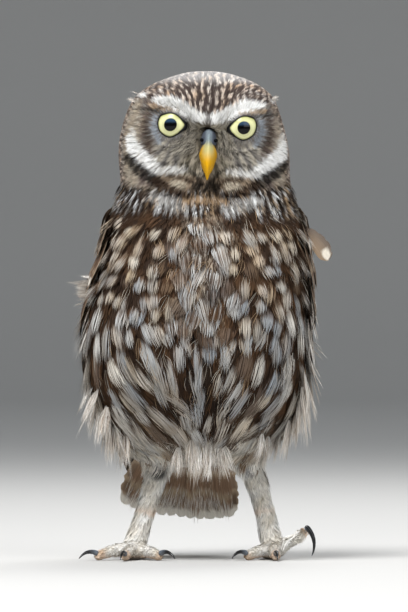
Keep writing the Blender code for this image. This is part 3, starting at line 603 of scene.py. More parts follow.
def linked(name, data):
    """A new object in the scene."""
    made = bpy.data.objects.new(name, data)
    bpy.context.scene.collection.objects.link(made)
    return made


def evaluated_mesh(obj):
    """What an object's modifiers make of its mesh."""
    bpy.context.view_layer.update()
    return bpy.data.meshes.new_from_object(obj.evaluated_get(bpy.context.evaluated_depsgraph_get()))


def even_out(mesh, rounds):
    """Moves each vertex of a mesh towards its neighbours, so many times."""
    bm = bmesh.new()
    bm.from_mesh(mesh)
    axes = {"use_axis_x": True, "use_axis_y": True, "use_axis_z": True}
    for _ in range(rounds):
        bmesh.ops.smooth_vert(bm, verts=bm.verts, factor=0.5, **axes)
    bm.to_mesh(mesh)
    bm.free()


def merged_copy(node, grow=0.0):
    """A bmesh copy of a solid's mesh with its corners joined, in metres, grown by so much."""
    bm = bmesh.new()
    bm.from_mesh(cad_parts[node].data)
    bmesh.ops.remove_doubles(bm, verts=bm.verts, dist=1e-6)
    if grow:
        bm.normal_update()
        moves = [v.normal * grow for v in bm.verts]
        for vert, move in zip(bm.verts, moves):
            vert.co += move
    return bm


@functools.cache
def flesh_mesh():
    """One closed, smoothed surface round the solids of flesh, at their outer size."""
    joined = bmesh.new()
    for node in FLESH:
        mesh = mesh_from(merged_copy(node, FLESH_OVERLAP), "part")
        joined.from_mesh(mesh)
        bpy.data.meshes.remove(mesh)
    obj = linked("flesh", mesh_from(joined, "flesh"))
    remesh = obj.modifiers.new("One skin", "REMESH")
    remesh.mode = "VOXEL"
    remesh.voxel_size = FLESH_VOXEL
    made = evaluated_mesh(obj)
    bpy.data.objects.remove(obj)
    even_out(made, rounds=7)
    return made


def search_tree(meshes):
    """A search tree of some meshes, in the drawing's millimetres."""
    points, polygons = [], []
    for mesh in meshes:
        start = len(points)
        points += [Vector(p) for p in to_drawing(vertex_array(mesh))]
        polygons += [tuple(start + v for v in p.vertices) for p in mesh.polygons]
    return BVHTree.FromPolygons(points, polygons)


@functools.cache
def flesh_tree():
    return search_tree([flesh_mesh()])


@functools.cache
def solids_tree(*nodes):
    return search_tree([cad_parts[node].data for node in nodes])


def nearest(points):
    """The nearest places on the flesh and the normals there."""
    tree = flesh_tree()
    places, normals = np.empty_like(points), np.empty_like(points)
    for i, point in enumerate(points):
        place, normal, _, _ = tree.find_nearest(point)
        places[i], normals[i] = place, normal
    return places, normals


def tract_of(points):
    """The name of the tract that each point of the body lies in."""
    a, u = face_axes(points)
    s = np.abs(a)
    z, y = points[..., 2], points[..., 1]
    _, angle = round_body(points)
    angle = np.abs(angle)
    names = np.full(points.shape[:-1], "belly", dtype="<U8")
    names[z > BREAST_BASE] = "breast"
    names[(angle > FLANK_ANGLE) & (z < FLANK_TOP)] = "flank"
    names[(angle > BACK_ANGLE) & (z > BACK_BASE)] = "mantle"
    names[(z < VENT_TOP) | ((y > RUMP_DEPTH) & (z < RUMP_TOP))] = "vent"
    names[(u > COLLAR_BASE) & (head_share(points) < 0.5)] = "collar"
    head = head_share(points) >= 0.5
    names[head] = "crown"
    names[head & (y < FACE_DEPTH) & (face_side(a, u) > 0.5)] = "face"
    names[head & (y < FACE_DEPTH) & (line_reach(s, u, BROW_LINE) < 0.3)] = "brow"
    names[(z < LEG_TOP) & (leg_distance(points) < LEG_RADIUS)] = "shank"
    names[z < TOE_TOP] = "toe"
    return names


def leg_distance(points):
    best = np.full(points.shape[:-1], np.inf)
    for stations in SHANKS.values():
        for start, end in zip(stations, stations[1:]):
            start, run = np.array(start), np.array(end) - np.array(start)
            t = np.clip(((points - start) @ run) / (run @ run), 0, 1)
            best = np.minimum(best, np.linalg.norm(points - start - t[..., None] * run, axis=-1))
    return best


def lie_of(points, normals):
    """The way the feathers lie at each point: away from the bill on the head, down elsewhere."""
    x, y, z = points.T
    a, u = face_axes(points)
    away = unit(points - BILL_ROOT)
    for side in (RIGHT, LEFT):
        from_eye = points - eye_middle(side) - eye_direction(side) * 6
        near = np.exp(-((np.hypot(a - side * EYE_SPACING / 2, u) / 11) ** 2)) * (y < -10)
        away = mix(away, unit(from_eye), near * 0.85)
    sway = 0.5 * smooth(120, 90, z) + 0.85 * smooth(88, 64, z) * smooth(48, 36, np.abs(x))
    sway = sway - 0.3 * smooth(120, 145, z)
    inward = -np.clip((x - 0.5) / 34, -1, 1) * smooth(20, -10, y) * sway
    down = np.stack([inward, 0.12 + 0 * z, -np.ones_like(z)], -1)
    for side in (RIGHT, LEFT):
        start, end = np.array(SHANKS[side][0]), np.array(SHANKS[side][-1])
        near = smooth(46, 40, z) * (side * x > 0)
        down = mix(down, unit(end - start), near)
        outward = points - FOOT_HUBS[side]
        outward[:, 2] = -0.2
        down = mix(down, unit(outward), smooth(9.5, 6.5, z) * (side * x > 0))
    behind = smooth(2, 22, y)
    head = head_share(points) * (1 - 0.85 * behind)
    direction = mix(unit(down), away, head)
    direction = direction - normals * np.sum(direction * normals, -1, keepdims=True)
    return unit(direction)


def scatter(spacing_of, tries, seed, squash=1.0):
    """Roots spread over the flesh, no two closer than the space that their place asks for."""
    rng = np.random.default_rng(seed)
    mesh = flesh_mesh()
    points = to_drawing(vertex_array(mesh))
    corners = [p.vertices[:3] for p in mesh.polygons]
    corners += [(p.vertices[0], *p.vertices[-2:]) for p in mesh.polygons]
    a, b, c = np.moveaxis(points[np.array(corners)], 1, 0)
    area = np.linalg.norm(np.cross(b - a, c - a), axis=1) / 2
    chosen = rng.choice(len(area), size=tries, p=area / area.sum())
    r, t = np.sqrt(rng.random((tries, 1))), rng.random((tries, 1))
    places = a[chosen] * (1 - r) + b[chosen] * (r * (1 - t)) + c[chosen] * (r * t)
    spacing = spacing_of(places)
    places, spacing = places[spacing > 0], spacing[spacing > 0]
    squashed = places * (1, 1, squash)
    tree = KDTree(len(places))
    for i, place in enumerate(squashed):
        tree.insert(place, i)
    tree.balance()
    free = np.ones(len(places), bool)
    kept = []
    for i in range(len(places)):
        if free[i]:
            kept.append(i)
            for _, j, _ in tree.find_range(squashed[i], spacing[i]):
                free[j] = False
    return places[kept]


def bare(points):
    """Which points carry no feathers: by the eyes, bill and claws, and under a foot."""
    tree = solids_tree("bill_upper", "cere", "bill_lower")
    claws = solids_tree(*(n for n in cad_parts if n.startswith("claw")))
    found = np.array([tree.find_nearest(p)[3] < 0.3 or claws.find_nearest(p)[3] < 0.8 for p in points])
    for side in (RIGHT, LEFT):
        offset = points - eye_middle(side)
        direction = eye_direction(side)
        off_axis = np.linalg.norm(offset - (offset @ direction)[:, None] * direction, axis=-1)
        found |= (off_axis < IRIS_RADIUS + 0.3) & (offset @ direction > 0)
    return found | (points[:, 2] < 1.2)


def covered(points, normals, directions, lengths):
    """Which tufts lie wholly under a wing or the tail."""
    tree = solids_tree("wing_left", "wing_right", "tail")
    hidden = np.ones(len(points), bool)
    for share in (-0.2, 1.0):
        for i, (point, normal, direction, length) in enumerate(zip(points, normals, directions, lengths)):
            if hidden[i]:
                start = Vector(point + direction * length * share - normal * 2)
                hidden[i] = tree.ray_cast(start, Vector(normal), 9)[0] is not None
    return hidden


def lines_on_body(roots, lengths, stray, rng, rows=STRAND_ROWS, eased=3):
    """The centre line of each tuft along the body, with the normals under it."""
    points, normals = nearest(roots)
    turn = rng.normal(size=len(roots)) * stray + 1.6 * stray * ripple(roots, 15, 77)
    lines, ups = [points], [normals]
    for _ in range(rows - 1):
        direction = lie_of(points, normals)
        across = np.cross(normals, direction)
        direction = direction * np.cos(turn)[:, None] + across * np.sin(turn)[:, None]
        points, normals = nearest(points + direction * (lengths / (rows - 1))[:, None])
        normals = unit(normals + ups[-1])
        lines.append(points)
        ups.append(normals)
    lines, ups = np.stack(lines, 1), np.stack(ups, 1)
    for _ in range(eased):
        lines[:, 1:-1] = 0.5 * lines[:, 1:-1] + 0.25 * (lines[:, :-2] + lines[:, 2:])
        ups[:, 1:-1] = unit(0.5 * ups[:, 1:-1] + 0.25 * (ups[:, :-2] + ups[:, 2:]))
    return lines, ups


def at_share(stack, share):
    """Values of a stack (tufts, rows, 3) at shares (tufts, strands, stations) of its rows."""
    place = np.clip(share, 0, 1) * (stack.shape[1] - 1)
    start = np.minimum(place.astype(int), stack.shape[1] - 2)
    t = (place - start)[..., None]
    index = np.arange(len(stack))[:, None, None]
    return stack[index, start] * (1 - t) + stack[index, start + 1] * t


class Coat:
    """Gathers tufts or vanes of one piece of plumage, and makes its mesh."""

    def __init__(self):
        self.points, self.faces, self.colours, self.uvs, self.patches = [], [], [], [], []
        self.count = 0

    def add(self, points, faces, colours, uvs, patches):
        """Tufts alike: points (n, v, 3), faces (f, 3), colours (n, v, 3), uvs and patches (n, v, 2)."""
        n, v = points.shape[:2]
        starts = self.count + np.arange(n)[:, None, None] * v
        self.faces.append((faces[None] + starts).reshape(-1, 3))
        self.points.append(points.reshape(-1, 3))
        self.colours.append(colours.reshape(-1, 3))
        self.uvs.append(np.broadcast_to(uvs, (n, v, 2)).reshape(-1, 2))
        self.patches.append(patches.reshape(-1, 2))
        self.count += n * v

    def build(self, name, material, replaced=()):
        """Makes one piece of all that was gathered."""
        points = to_metres(np.concatenate(self.points)).astype(np.float32)
        faces = np.concatenate(self.faces).astype(np.int32)
        mesh = bpy.data.meshes.new(name)
        mesh.vertices.add(len(points))
        mesh.vertices.foreach_set("co", points.ravel())
        mesh.loops.add(faces.size)
        mesh.loops.foreach_set("vertex_index", faces.ravel())
        mesh.polygons.add(len(faces))
        mesh.polygons.foreach_set("loop_start", np.arange(0, faces.size, 3, dtype=np.int32))
        mesh.update(calc_edges=True)
        paint(mesh, np.concatenate(self.colours))
        for layer_name, values in (("Feather", self.uvs), ("OFBake", self.patches)):
            layer = mesh.uv_layers.new(name=layer_name)
            layer.data.foreach_set("uv", np.concatenate(values)[faces.ravel()].astype(np.float32).ravel())
        placed(name, mesh, material, replaced)


def paint(mesh, colours):
    """Keeps the markings on a mesh, one colour for each vertex."""
    layer = mesh.color_attributes.new("Plumage", "FLOAT_COLOR", "POINT")
    values = np.concatenate([np.clip(colours, 0, 1), np.ones((len(colours), 1))], 1)
    layer.data.foreach_set("color", values.astype(np.float32).ravel())


def placed(name, mesh, material, replaced=()):
    """Makes a finished mesh a piece that rides on the body and what it replaces."""
    mesh.shade_smooth()
    mesh.materials.clear()
    mesh.materials.append(material)
    obj = linked(name, mesh)
    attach(obj, "root")
    if replaced:
        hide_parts(*replaced)


def body_patch(roots):
    """The root's place on an unwrap of the skin: round the body and up it, legs apart."""
    _, angle = round_body(roots)
    u = 0.02 + 0.76 * (angle + math.pi) / (2 * math.pi)
    v = 0.02 + 0.96 * np.clip(roots[:, 2] / 212, 0, 1)
    low = roots[:, 2] < LEG_TOP
    for side in (RIGHT, LEFT):
        ours = low & (side * roots[:, 0] > 0)
        offset = roots - FOOT_HUBS[side]
        turn = np.arctan2(offset[:, 0], offset[:, 1])
        start = 0.8 if side == RIGHT else 0.9
        u = np.where(ours, start + 0.09 * (turn + math.pi) / (2 * math.pi), u)
        v = np.where(ours, 0.02 + 0.6 * offset[:, 2] / 40 + 0.01 * np.hypot(offset[:, 0], offset[:, 1]), v)
    return np.stack([u, v], -1)


def strand_faces(stations):
    """Triangles of one strand: a ribbon that ends in a point."""
    faces = []
    for i in range(stations - 2):
        a = 2 * i
        faces += [(a, a + 1, a + 3), (a, a + 3, a + 2)]
    last = 2 * (stations - 2)
    faces.append((last, last + 1, last + 2))
    return np.array(faces)


def add_tufts(
    coat,
    lines,
    ups,
    half_widths,
    strands,
    lifts,
    depth,
    curl,
    rng,
    marks=None,
    stations=4,
    camber=0.12,
    thick=1.35,
    root_tone=ROOT_TONE,
):
    """Tufts of narrow strands that lie side by side like a soft feather."""
    n = len(lines)
    lifts = np.broadcast_to(lifts, n)[:, None, None]
    along_line = unit(np.gradient(lines, axis=1))
    offsets = np.linspace(-1, 1, strands)[None] + rng.normal(size=(n, strands)) * 0.8 / strands
    reach = (1 - 0.28 * offsets**2) * rng.uniform(0.8, 1.04, (n, strands))
    t = np.linspace(0, 1, stations)
    share = reach[..., None] * t
    centre, up, ahead = (at_share(stack, share) for stack in (lines, ups, along_line))
    across = unit(np.cross(ahead, up))
    spread_out = np.interp(t, (0, 0.35, 0.75, 1), (0.25, 0.9, 1.0, 0.8))
    width = half_widths[:, None, None] * spread_out
    sideways = offsets[..., None] * width
    twist = rng.normal(size=(n, strands, 1)) * curl * half_widths[:, None, None] * t**2
    height = -depth * (1 - t) ** 1.6 + lifts * t**1.3
    height = height + rng.normal(size=(n, strands, 1)) * 0.25 * np.abs(lifts) * t
    height = height - camber * offsets[..., None] ** 2 * width
    base = centre + across * (sideways + twist)[..., None] + up * height[..., None]
    thickness = thick / strands * np.interp(t, (0, 0.3, 0.75, 1), (0.8, 1.0, 0.75, 0))
    half = half_widths[:, None, None] * thickness
    tilt = rng.normal(size=(n, strands, 1)) * (0.06 + 0.8 * curl)
    edge = across * np.cos(tilt)[..., None] + up * np.sin(tilt)[..., None]
    left, right = base - edge * half[..., None], base + edge * half[..., None]
    pairs = np.stack([left, right], 3).reshape(n, strands, stations * 2, 3)[:, :, :-1]
    points = pairs.reshape(n, -1, 3)

    if marks:
        colours = marks(np.broadcast_to(offsets[..., None], share.shape), share)
    else:
        stray = rng.normal(size=(n, strands, 1, 2)) * (0.15, 0.5)
        place = centre + across * (sideways[..., None] * 0.9 + stray[..., :1]) + ahead * stray[..., 1:]
        colours = plumage_colour(place.reshape(-1, 3)).reshape(n, strands, stations, 3)
    shade = rng.uniform(0.88, 1.1, (n, 1, 1, 1)) * rng.uniform(0.93, 1.06, (n, strands, 1, 1))
    # Darker towards the root: the dark down at a feather's base and painted shade between the tufts
    root_shade = np.interp(t, (0, 0.45), (root_tone, 1.0))[:, None]
    colours = colours * shade * root_shade
    colours = np.repeat(colours, 2, axis=2)[:, :, :-1].reshape(n, -1, 3)

    one = strand_faces(stations)
    v = stations * 2 - 1
    faces = np.concatenate([one + v * i for i in range(strands)])
    u = np.repeat(0.5 + 0.5 * np.linspace(-1, 1, strands), v)
    w = np.tile(np.repeat(t, 2)[:-1], strands)
    uvs = np.stack([u, w], -1)
    patches = body_patch(lines[:, 0])[:, None] + (uvs - 0.5) * PATCH
    coat.add(points, faces, colours, uvs, patches)


def contour_marks(tract, places, rng):
    """Markings within each contour feather: pale ovals, drops, stripes or strands on brown."""
    n = len(places)
    arc, _ = round_body(places)
    z = places[:, 2]
    middle = smooth(15, 8, np.abs(arc - 1) + rng.normal(size=n) * 2)
    middle = middle * smooth(92, 100, z) * (tract == "breast")
    patchy = ripple(places, 13, 93)
    chance = rng.random(n)
    warmth = np.interp(z, (50, 70, 95, 115, 135), (0.6, 0.45, 0.3, 0.5, 0.8))
    warmth = np.clip(warmth + 0.25 * ripple(places, 22, 91) + 0.2 * rng.normal(size=n), 0, 1)
    warmth = warmth * (1 - 0.6 * middle)
    cold, warm = srgb("#979ca1"), mix(srgb("#a58f75"), srgb("#b5a58c"), rng.random(n))
    light = rng.normal(size=n) + 0.7 * (np.abs(places[:, 0]) > 34) + 0.8 * smooth(70, 56, z)
    light = (0.45 if tract == "breast" else 1.0) * smooth(-0.5, 2.2, light)
    light = np.maximum(light, 0.6 * middle * rng.random(n))
    plain = chance < 0.1 + 0.1 * smooth(0, 1, patchy)
    # Painted shade on the middle of the lower breast, where light from above falls less: darker ground and
    # smaller, duller pale marks
    inner = smooth(16, 6, np.abs(places[:, 0] - 1)) * smooth(96, 84, z) * smooth(52, 62, z)
    dark = mix(DARK_BROWN, BACK_BROWN, smooth(-0.6, 1.8, rng.normal(size=n)) * 0.5)
    if tract == "nape":
        dark = mix(dark, CROWN_BROWN, 0.7)
    low = smooth(56, 46, z + 3 * rng.normal(size=n))
    # Black brown in the lower breast's middle is painted shade; the buff low down is the plumage's own colour
    dark = mix(mix(dark, BLACK_BROWN, 0.6 * inner), mix(BUFF, BACK_BROWN, 0.4), 0.6 * low * (chance > 0.4))
    drop = smooth(112, 96, z + 5 * rng.normal(size=n))
    size = rng.uniform(0.85, 1.15, n)
    lean = rng.normal(size=n) * 0.12

    def each(values):
        return values.reshape(n, 1, 1)

    def marks(u, t):
        strands = u.shape[1]
        x = u - each(lean) + rng.normal(size=(n, strands, 1)) * 0.07
        y = t + rng.normal(size=(n, strands, 1)) * 0.035
        if tract in ("mantle", "nape"):
            mask = 1 - smooth(0.75, 1.2, np.hypot(x / 0.5, (y - 0.76) / 0.14) / each(size))
            mask = np.maximum(mask, 0.5 * smooth(0.93, 0.97, y))
        else:
            round_mark = 1 - smooth(0.75, 1.2, np.hypot(x / 0.72, (y - 0.71) / 0.26) / each(size))
            width = np.interp(y, (0.1, 0.55, 0.85, 1.0), (0.25, 0.66, 0.74, 0.5))
            # Narrower pale marks in the painted shade of the lower breast's middle
            width = width * each(size * (1 - 0.35 * inner))
            long_mark = (1 - smooth(0.8, 1.12, np.abs(x) / width)) * smooth(0.1, 0.35, y)
            mask = round_mark + (long_mark - round_mark) * each(drop)
            mask = mask * each(1 - 0.8 * plain)
            streak = (1 - smooth(0.12, 0.45, np.abs(x))) * smooth(0.62, 0.48, y) * each(smooth(122, 132, z))
            mask = np.maximum(mask, 0.75 * streak)
            whole = 0.65 + 0.4 * each(patchy + 0.6 * rng.normal(size=n))
            strand = smooth(0.2, 0.8, 0.6 * rng.random((n, strands, 1)) + 0.5 * whole + 0.12 * np.sin(8 * y))
            mask = mask + (strand - mask) * each(middle)
        mask = np.clip(mask, 0, 1)
        hue = np.clip(each(warmth) + 0.3 * x * each(np.sign(lean)) + 0.25 * (1 - mask), 0, 1)
        pale = mix(cold, warm[:, None, None], hue)
        # Less white in the painted shade of the lower breast's middle
        pale = mix(pale, mix(WHITE, CREAM, 0.4), each(0.7 * light * (1 - 0.8 * inner)) * (0.6 + 0.4 * mask))
        colour = mix(dark[:, None, None], pale, mask)
        return mix(colour, BACK_BROWN, np.clip(mask * (1 - mask) * 4, 0, 1) * 0.5)

    return marks


def toned(tones):
    """One tone for each tuft."""
    return lambda u, t: np.broadcast_to(tones[:, None, None], (*t.shape, 3))


def frayed(tones, rng):
    """One tone for each tuft, with darker and browner strands in it."""

    def marks(u, t):
        chance = rng.random((*t.shape[:2], 1))
        colour = mix(tones[:, None, None], BUFF, 0.6 * smooth(0.5, 1.0, chance))
        return mix(colour, BACK_BROWN, 0.8 * smooth(0.28, 0.05, chance) * smooth(1.0, 0.5, t))

    return marks


def new_material(name, roughness, specular=0.3, colour=(0.5, 0.5, 0.5)):
    """A material with its shader set, ready for nodes."""
    made = bpy.data.materials.new(name)
    made.use_nodes = True
    shader = made.node_tree.nodes["Principled BSDF"]
    shader.inputs["Roughness"].default_value = roughness
    shader.inputs["Specular IOR Level"].default_value = specular
    shader.inputs["Base Color"].default_value = (*colour, 1)
    return made, shader


def add_node(material, kind, **values):
    """A new node of a kind, with some of its settings or sockets given by name."""
    node = material.node_tree.nodes.new(kind)
    for name, value in values.items():
        if hasattr(node, name):
            setattr(node, name, value)
        else:
            node.inputs[name.replace("_", " ")].default_value = value
    return node


def link(material, source, target):
    material.node_tree.links.new(source, target)


def painted_material(name, roughness, specular):
    """A material in the markings' colours alone."""
    made, shader = new_material(name, roughness, specular)
    marks = add_node(made, "ShaderNodeAttribute", attribute_name="Plumage")
    link(made, marks.outputs["Color"], shader.inputs["Base Color"])
    return made


@functools.cache
def feather_material(name="soft feather", roughness=0.85, barb_scale=26.0, barb_strength=0.16):
    """Soft matt plumage in the markings' colours, with fine barbs along each feather."""
    made, shader = new_material(name, roughness, 0.18)
    marks = add_node(made, "ShaderNodeAttribute", attribute_name="Plumage")
    place = add_node(made, "ShaderNodeUVMap", uv_map="Feather")
    stretch = add_node(made, "ShaderNodeMapping", Scale=(barb_scale, 2.5, 1.0))
    barbs = add_node(made, "ShaderNodeTexNoise", Scale=1.0, Detail=2.0, Roughness=0.6)
    shade = add_node(made, "ShaderNodeMapRange", From_Min=0.3, From_Max=0.7)
    shade.inputs["To Min"].default_value = 1 - barb_strength * 1.6
    shade.inputs["To Max"].default_value = 1 + barb_strength
    tint = add_node(made, "ShaderNodeMix", data_type="RGBA", blend_type="MULTIPLY")
    tint.inputs[0].default_value = 1
    link(made, place.outputs["UV"], stretch.inputs["Vector"])
    link(made, stretch.outputs["Vector"], barbs.inputs["Vector"])
    link(made, barbs.outputs["Fac"], shade.inputs["Value"])
    link(made, marks.outputs["Color"], tint.inputs[6])
    link(made, shade.outputs["Result"], tint.inputs[7])
    link(made, tint.outputs[2], shader.inputs["Base Color"])
    return made


@functools.cache
def skin_material():
    """Matt down close to the skin, in the same markings as the coat."""
    made, shader = new_material("down by the skin", 0.95, 0.1)
    marks = add_node(made, "ShaderNodeAttribute", attribute_name="Plumage")
    dark = add_node(made, "ShaderNodeMix", data_type="RGBA", blend_type="MULTIPLY")
    dark.inputs[0].default_value = 1
    dark.inputs[7].default_value = (0.62, 0.6, 0.58, 1)
    link(made, marks.outputs["Color"], dark.inputs[6])
    link(made, dark.outputs[2], shader.inputs["Base Color"])
    return made


def depth_of(points):
    """How deep the skin lies under the coat's outer form."""
    return np.array([TRACTS[name][-1] for name in tract_of(points)])


def make_skin():
    """The skin that the coat grows from, in place of the solids of flesh."""
    mesh = flesh_mesh().copy()
    mesh.name = "skin"
    points, normals = to_drawing(vertex_array(mesh)), vertex_array(mesh, "normal")
    depths = depth_of(points)
    sunk = points - normals * (depths * smooth(0, 2.0, points[:, 2]))[:, None]
    sunk[:, 2] = np.maximum(sunk[:, 2], 0.02)
    mesh.vertices.foreach_set("co", to_metres(sunk).astype(np.float32).ravel())
    even_out(mesh, rounds=3)
    paint(mesh, plumage_colour(points))
    placed("skin", mesh, skin_material(), FLESH)


def wing_distance(points):
    tree = solids_tree("wing_left", "wing_right")
    return np.array([tree.find_nearest(p)[3] for p in points])


def uncovered(roots, lengths):
    """The roots and lengths of the tufts that don't lie wholly under a wing or the tail."""
    places, normals = nearest(roots)
    seen = ~covered(places, normals, lie_of(places, normals), lengths)
    return roots[seen], lengths[seen]


def make_fine_coat(density):
    """The fine tufts of every tract, one piece for each."""
    rng = np.random.default_rng(SEED)
    spacings = {name: row[0] / density**0.5 for name, row in TRACTS.items()}

    def spacing_of(points):
        return np.array([spacings[name] for name in tract_of(points)])

    roots = scatter(spacing_of, tries=100000, seed=SEED)
    roots = roots[~bare(roots)]
    names = tract_of(roots)
    for name, (_, length, half_width, strands, lift, curl, stray, depth) in TRACTS.items():
        ours = roots[names == name]
        ours, lengths = uncovered(ours, length * rng.uniform(0.8, 1.15, len(ours)))
        lines, ups = lines_on_body(ours, lengths, stray, rng)
        half_widths = half_width * rng.uniform(0.8, 1.2, len(ours))
        coat = Coat()
        tone = ROOT_TONES.get(name, ROOT_TONE)
        add_tufts(coat, lines, ups, half_widths, strands, lift, depth, curl, rng, root_tone=tone)
        if name == "face":
            add_lid_tufts(coat, rng)
        coat.build("plumage_" + name, feather_material())


def add_lid_tufts(coat, rng):
    """Rows of tiny tufts round each eye, pointing away from it."""
    for side in (RIGHT, LEFT):
        for row, length in LID_TUFT_ROWS:
            angle = np.linspace(0, 2 * math.pi, LID_TUFTS, endpoint=False)
            angle = angle + rng.normal(size=LID_TUFTS) * 0.04
            edge = lid_edge(angle) + lid_rim(angle) - 0.05
            reach = (edge + row)[:, None] + length * np.linspace(0, 1, STRAND_ROWS)
            lines = on_lid(side, edge[:, None] + 0 * reach, angle[:, None], 0.2)
            outward, up, ahead = eye_frame(side)
            past = reach - edge[:, None]
            lines = lines + (past * np.cos(angle[:, None]))[..., None] * outward
            lines = lines + (past * np.sin(angle[:, None]))[..., None] * up
            lines = lines - (0.05 * past + 0.11 * past**2)[..., None] * ahead
            ups = unit(lines - eye_middle(side) + ahead * 4)
            places, normals = nearest(lines.reshape(-1, 3))
            settled = (places + normals * 0.4).reshape(lines.shape)
            lines = mix(lines, settled, smooth(1.2, 5.2, past))
            half_widths = np.full(LID_TUFTS, 0.55)
            looks = {"strands": 5, "lifts": 0.15, "depth": 0.15, "curl": 0.15, "root_tone": 0.85}
            add_tufts(coat, lines, ups, half_widths, rng=rng, **looks)


def make_bristles():
    """Fine hairs: dark ones from the eyes' inner corners and round the bill, and stray barbs."""
    rng = np.random.default_rng(SEED + 7)
    coat = Coat()
    count = 260
    across = rng.uniform(3.4, 11, count) * rng.choice((RIGHT, LEFT), count)
    up = rng.uniform(-10, 0.5, count)
    roots = np.stack([face_point(a, u, -28.0) for a, u in zip(across, up)])
    roots = roots[~bare(nearest(roots)[0])]
    lines, ups = lines_on_body(roots, rng.uniform(5, 9.5, len(roots)), 0.3, rng)
    tones = toned(mix(BLACK_BROWN, mix(GREY, CREAM, 0.4), rng.choice((0.05, 0.3, 1.0), len(roots))))
    half_widths, lifts = np.full(len(roots), 0.7), rng.uniform(0.5, 1.4, len(roots))
    looks = {"strands": 3, "depth": 0.0, "curl": 0.4, "thick": 0.26}
    add_tufts(coat, lines, ups, half_widths, lifts=lifts, rng=rng, marks=tones, **looks)
    coat.build("bristles_face", feather_material())

    coat = Coat()

    def spacing_of(points):
        low, high = BARB_HEIGHTS
        return np.where((points[:, 2] > low) & (points[:, 2] < high), BARB_SPACING, 0)

    roots = scatter(spacing_of, tries=20000, seed=SEED + 8)
    roots, lengths = uncovered(roots, rng.uniform(8, 14, len(roots)))
    lines, ups = lines_on_body(roots, lengths, 0.24, rng, rows=6)
    tones = np.array((srgb("#a59d90"), srgb("#beb6a8"), BUFF, DARK_BROWN, BACK_BROWN))
    tones = toned(tones[rng.integers(0, len(tones), len(roots))])
    half_widths, lifts = np.full(len(roots), 1.6), rng.uniform(0.9, 2.2, len(roots))
    looks = {"strands": 3, "depth": 0.5, "curl": 0.5, "stations": 6, "thick": 0.15}
    add_tufts(coat, lines, ups, half_widths, lifts=lifts, rng=rng, marks=tones, **looks)
    coat.build("stray_barbs", feather_material())


def make_wisps():
    """Soft tufts that stand out from the outline, as at the hem and the bend of the wing."""
    rng = np.random.default_rng(SEED + 9)
    coat = Coat()
    rows = np.linspace(0, 1, 6)
    looks = {"strands": 23, "lifts": 0.5, "depth": 0.5, "curl": 0.55, "stations": 6, "thick": 0.9}
    edges = [
        ((side * (46.8 + 0.6 * (side == RIGHT)), -8, height), (side * 0.12, -0.2, -1), 14, 1.9)
        for side in (RIGHT, LEFT)
        for height in range(96, 140, 6)
    ]
    for root, direction, length, half_width in (*WISPS, *edges):
        copies = 6 if root[2] < HEM_TOP or abs(root[0]) > WING_BEND else 3
        spread = (0.8, 1.5, 1.2) if root[2] > HEM_TOP else (1.0, 6.0, 2.0)
        starts = np.array(root, float) + rng.normal(size=(copies, 3)) * spread
        places, normals = nearest(starts)
        places = mix(places, starts, np.full(copies, 0.5 if root[2] < NECK_HEIGHT else 0.0))
        ways = unit(np.array(direction) + rng.normal(size=(copies, 3)) * 0.12)
        reach = (length * rng.uniform(0.75, 1.1, copies))[:, None, None] * rows[:, None]
        lines = places[:, None] + ways[:, None] * reach
        lines[..., 2] -= 0.12 * length * rows**2
        ups = np.broadcast_to(normals[:, None], lines.shape)
        tones = mix(mix(WHITE, CREAM, 0.15), BUFF, rng.random(copies) * 0.35)
        half_widths = np.full(copies, half_width)
        add_tufts(coat, lines, ups, half_widths, rng=rng, marks=frayed(tones, rng), **looks)
    coat.build("wisps", feather_material())


def make_contour_coat(density):
    """The larger feathers that give the breast, belly, flanks and back their pattern."""
    rng = np.random.default_rng(SEED + 1)
    for name, (spacing, squash, length, half_width, strands, lift, curl) in CONTOURS.items():

        def spacing_of(points):
            names = tract_of(points)
            ours = names == name
            if name == "belly":
                ours |= (names == "vent") & (points[:, 1] < 14) & (points[:, 2] > 46)
            if name == "nape":
                ours = np.isin(names, ("crown", "collar")) & (points[:, 1] > 5)
                ours &= points[:, 2] < 178 + 7 * ripple(points, 8, 31)
            if name == "breast":
                _, u = face_axes(points)
                ours |= (names == "collar") & (u < -36) & (points[:, 1] < 4)
            return np.where(ours, spacing / density**0.5, 0)

        ours = scatter(spacing_of, tries=60000, seed=SEED + 1, squash=squash)
        ours, lengths = uncovered(ours, length * rng.uniform(0.8, 1.15, len(ours)))
        lines, ups = lines_on_body(ours, lengths, 0.14, rng, rows=7, eased=25 if name == "nape" else 3)
        lifts = lift * rng.uniform(0.5, 1.5, len(ours))
        lifts = lifts + 2.2 * smooth(7, 2.5, wing_distance(lines[:, 3])) * (name not in ("mantle", "nape"))
        half_widths = half_width * rng.uniform(0.8, 1.2, len(ours))
        marks = contour_marks(name, lines[:, 4], rng)
        coat = Coat()
        looks = {"depth": 2.4, "curl": curl, "stations": 7, "camber": 0.28, "thick": 2.0}
        add_tufts(coat, lines, ups, half_widths, strands, lifts, rng=rng, marks=marks, **looks)
        coat.build("contour_" + name, feather_material())


def oval(angle, squareness):
    c, s = np.cos(angle), np.sin(angle)
    power = 2 / squareness
    return np.sign(c) * np.abs(c) ** power, np.sign(s) * np.abs(s) ** power


def wing_surface(side, down, back, lift):
    """Points on a wing, down from 0 at the shoulder to 1 at the tip, back from 0 to 1, and normals."""
    row = along(WING_ROWS, np.asarray(down, float) * (len(WING_ROWS) - 1))
    height, middle_x, middle_y, half_width, half_depth, front, rear = np.moveaxis(row, -1, 0)
    angle = np.radians(front + (rear - front) * back)
    places = []
    for turn in (angle - 0.03, angle, angle + 0.03):
        across, deep = oval(turn, WING_SQUARENESS)
        places.append(np.stack([half_width * across, half_depth * deep], -1))
    tangent = unit(places[2] - places[0])
    out = np.stack([tangent[..., 1], -tangent[..., 0]], -1)
    place = places[1] + out * np.asarray(lift)[..., None]
    points = np.stack([middle_x + side * place[..., 0], middle_y + place[..., 1], height], -1)
    normals = np.stack([side * out[..., 0], out[..., 1], 0 * height], -1)
    return points, unit(normals)


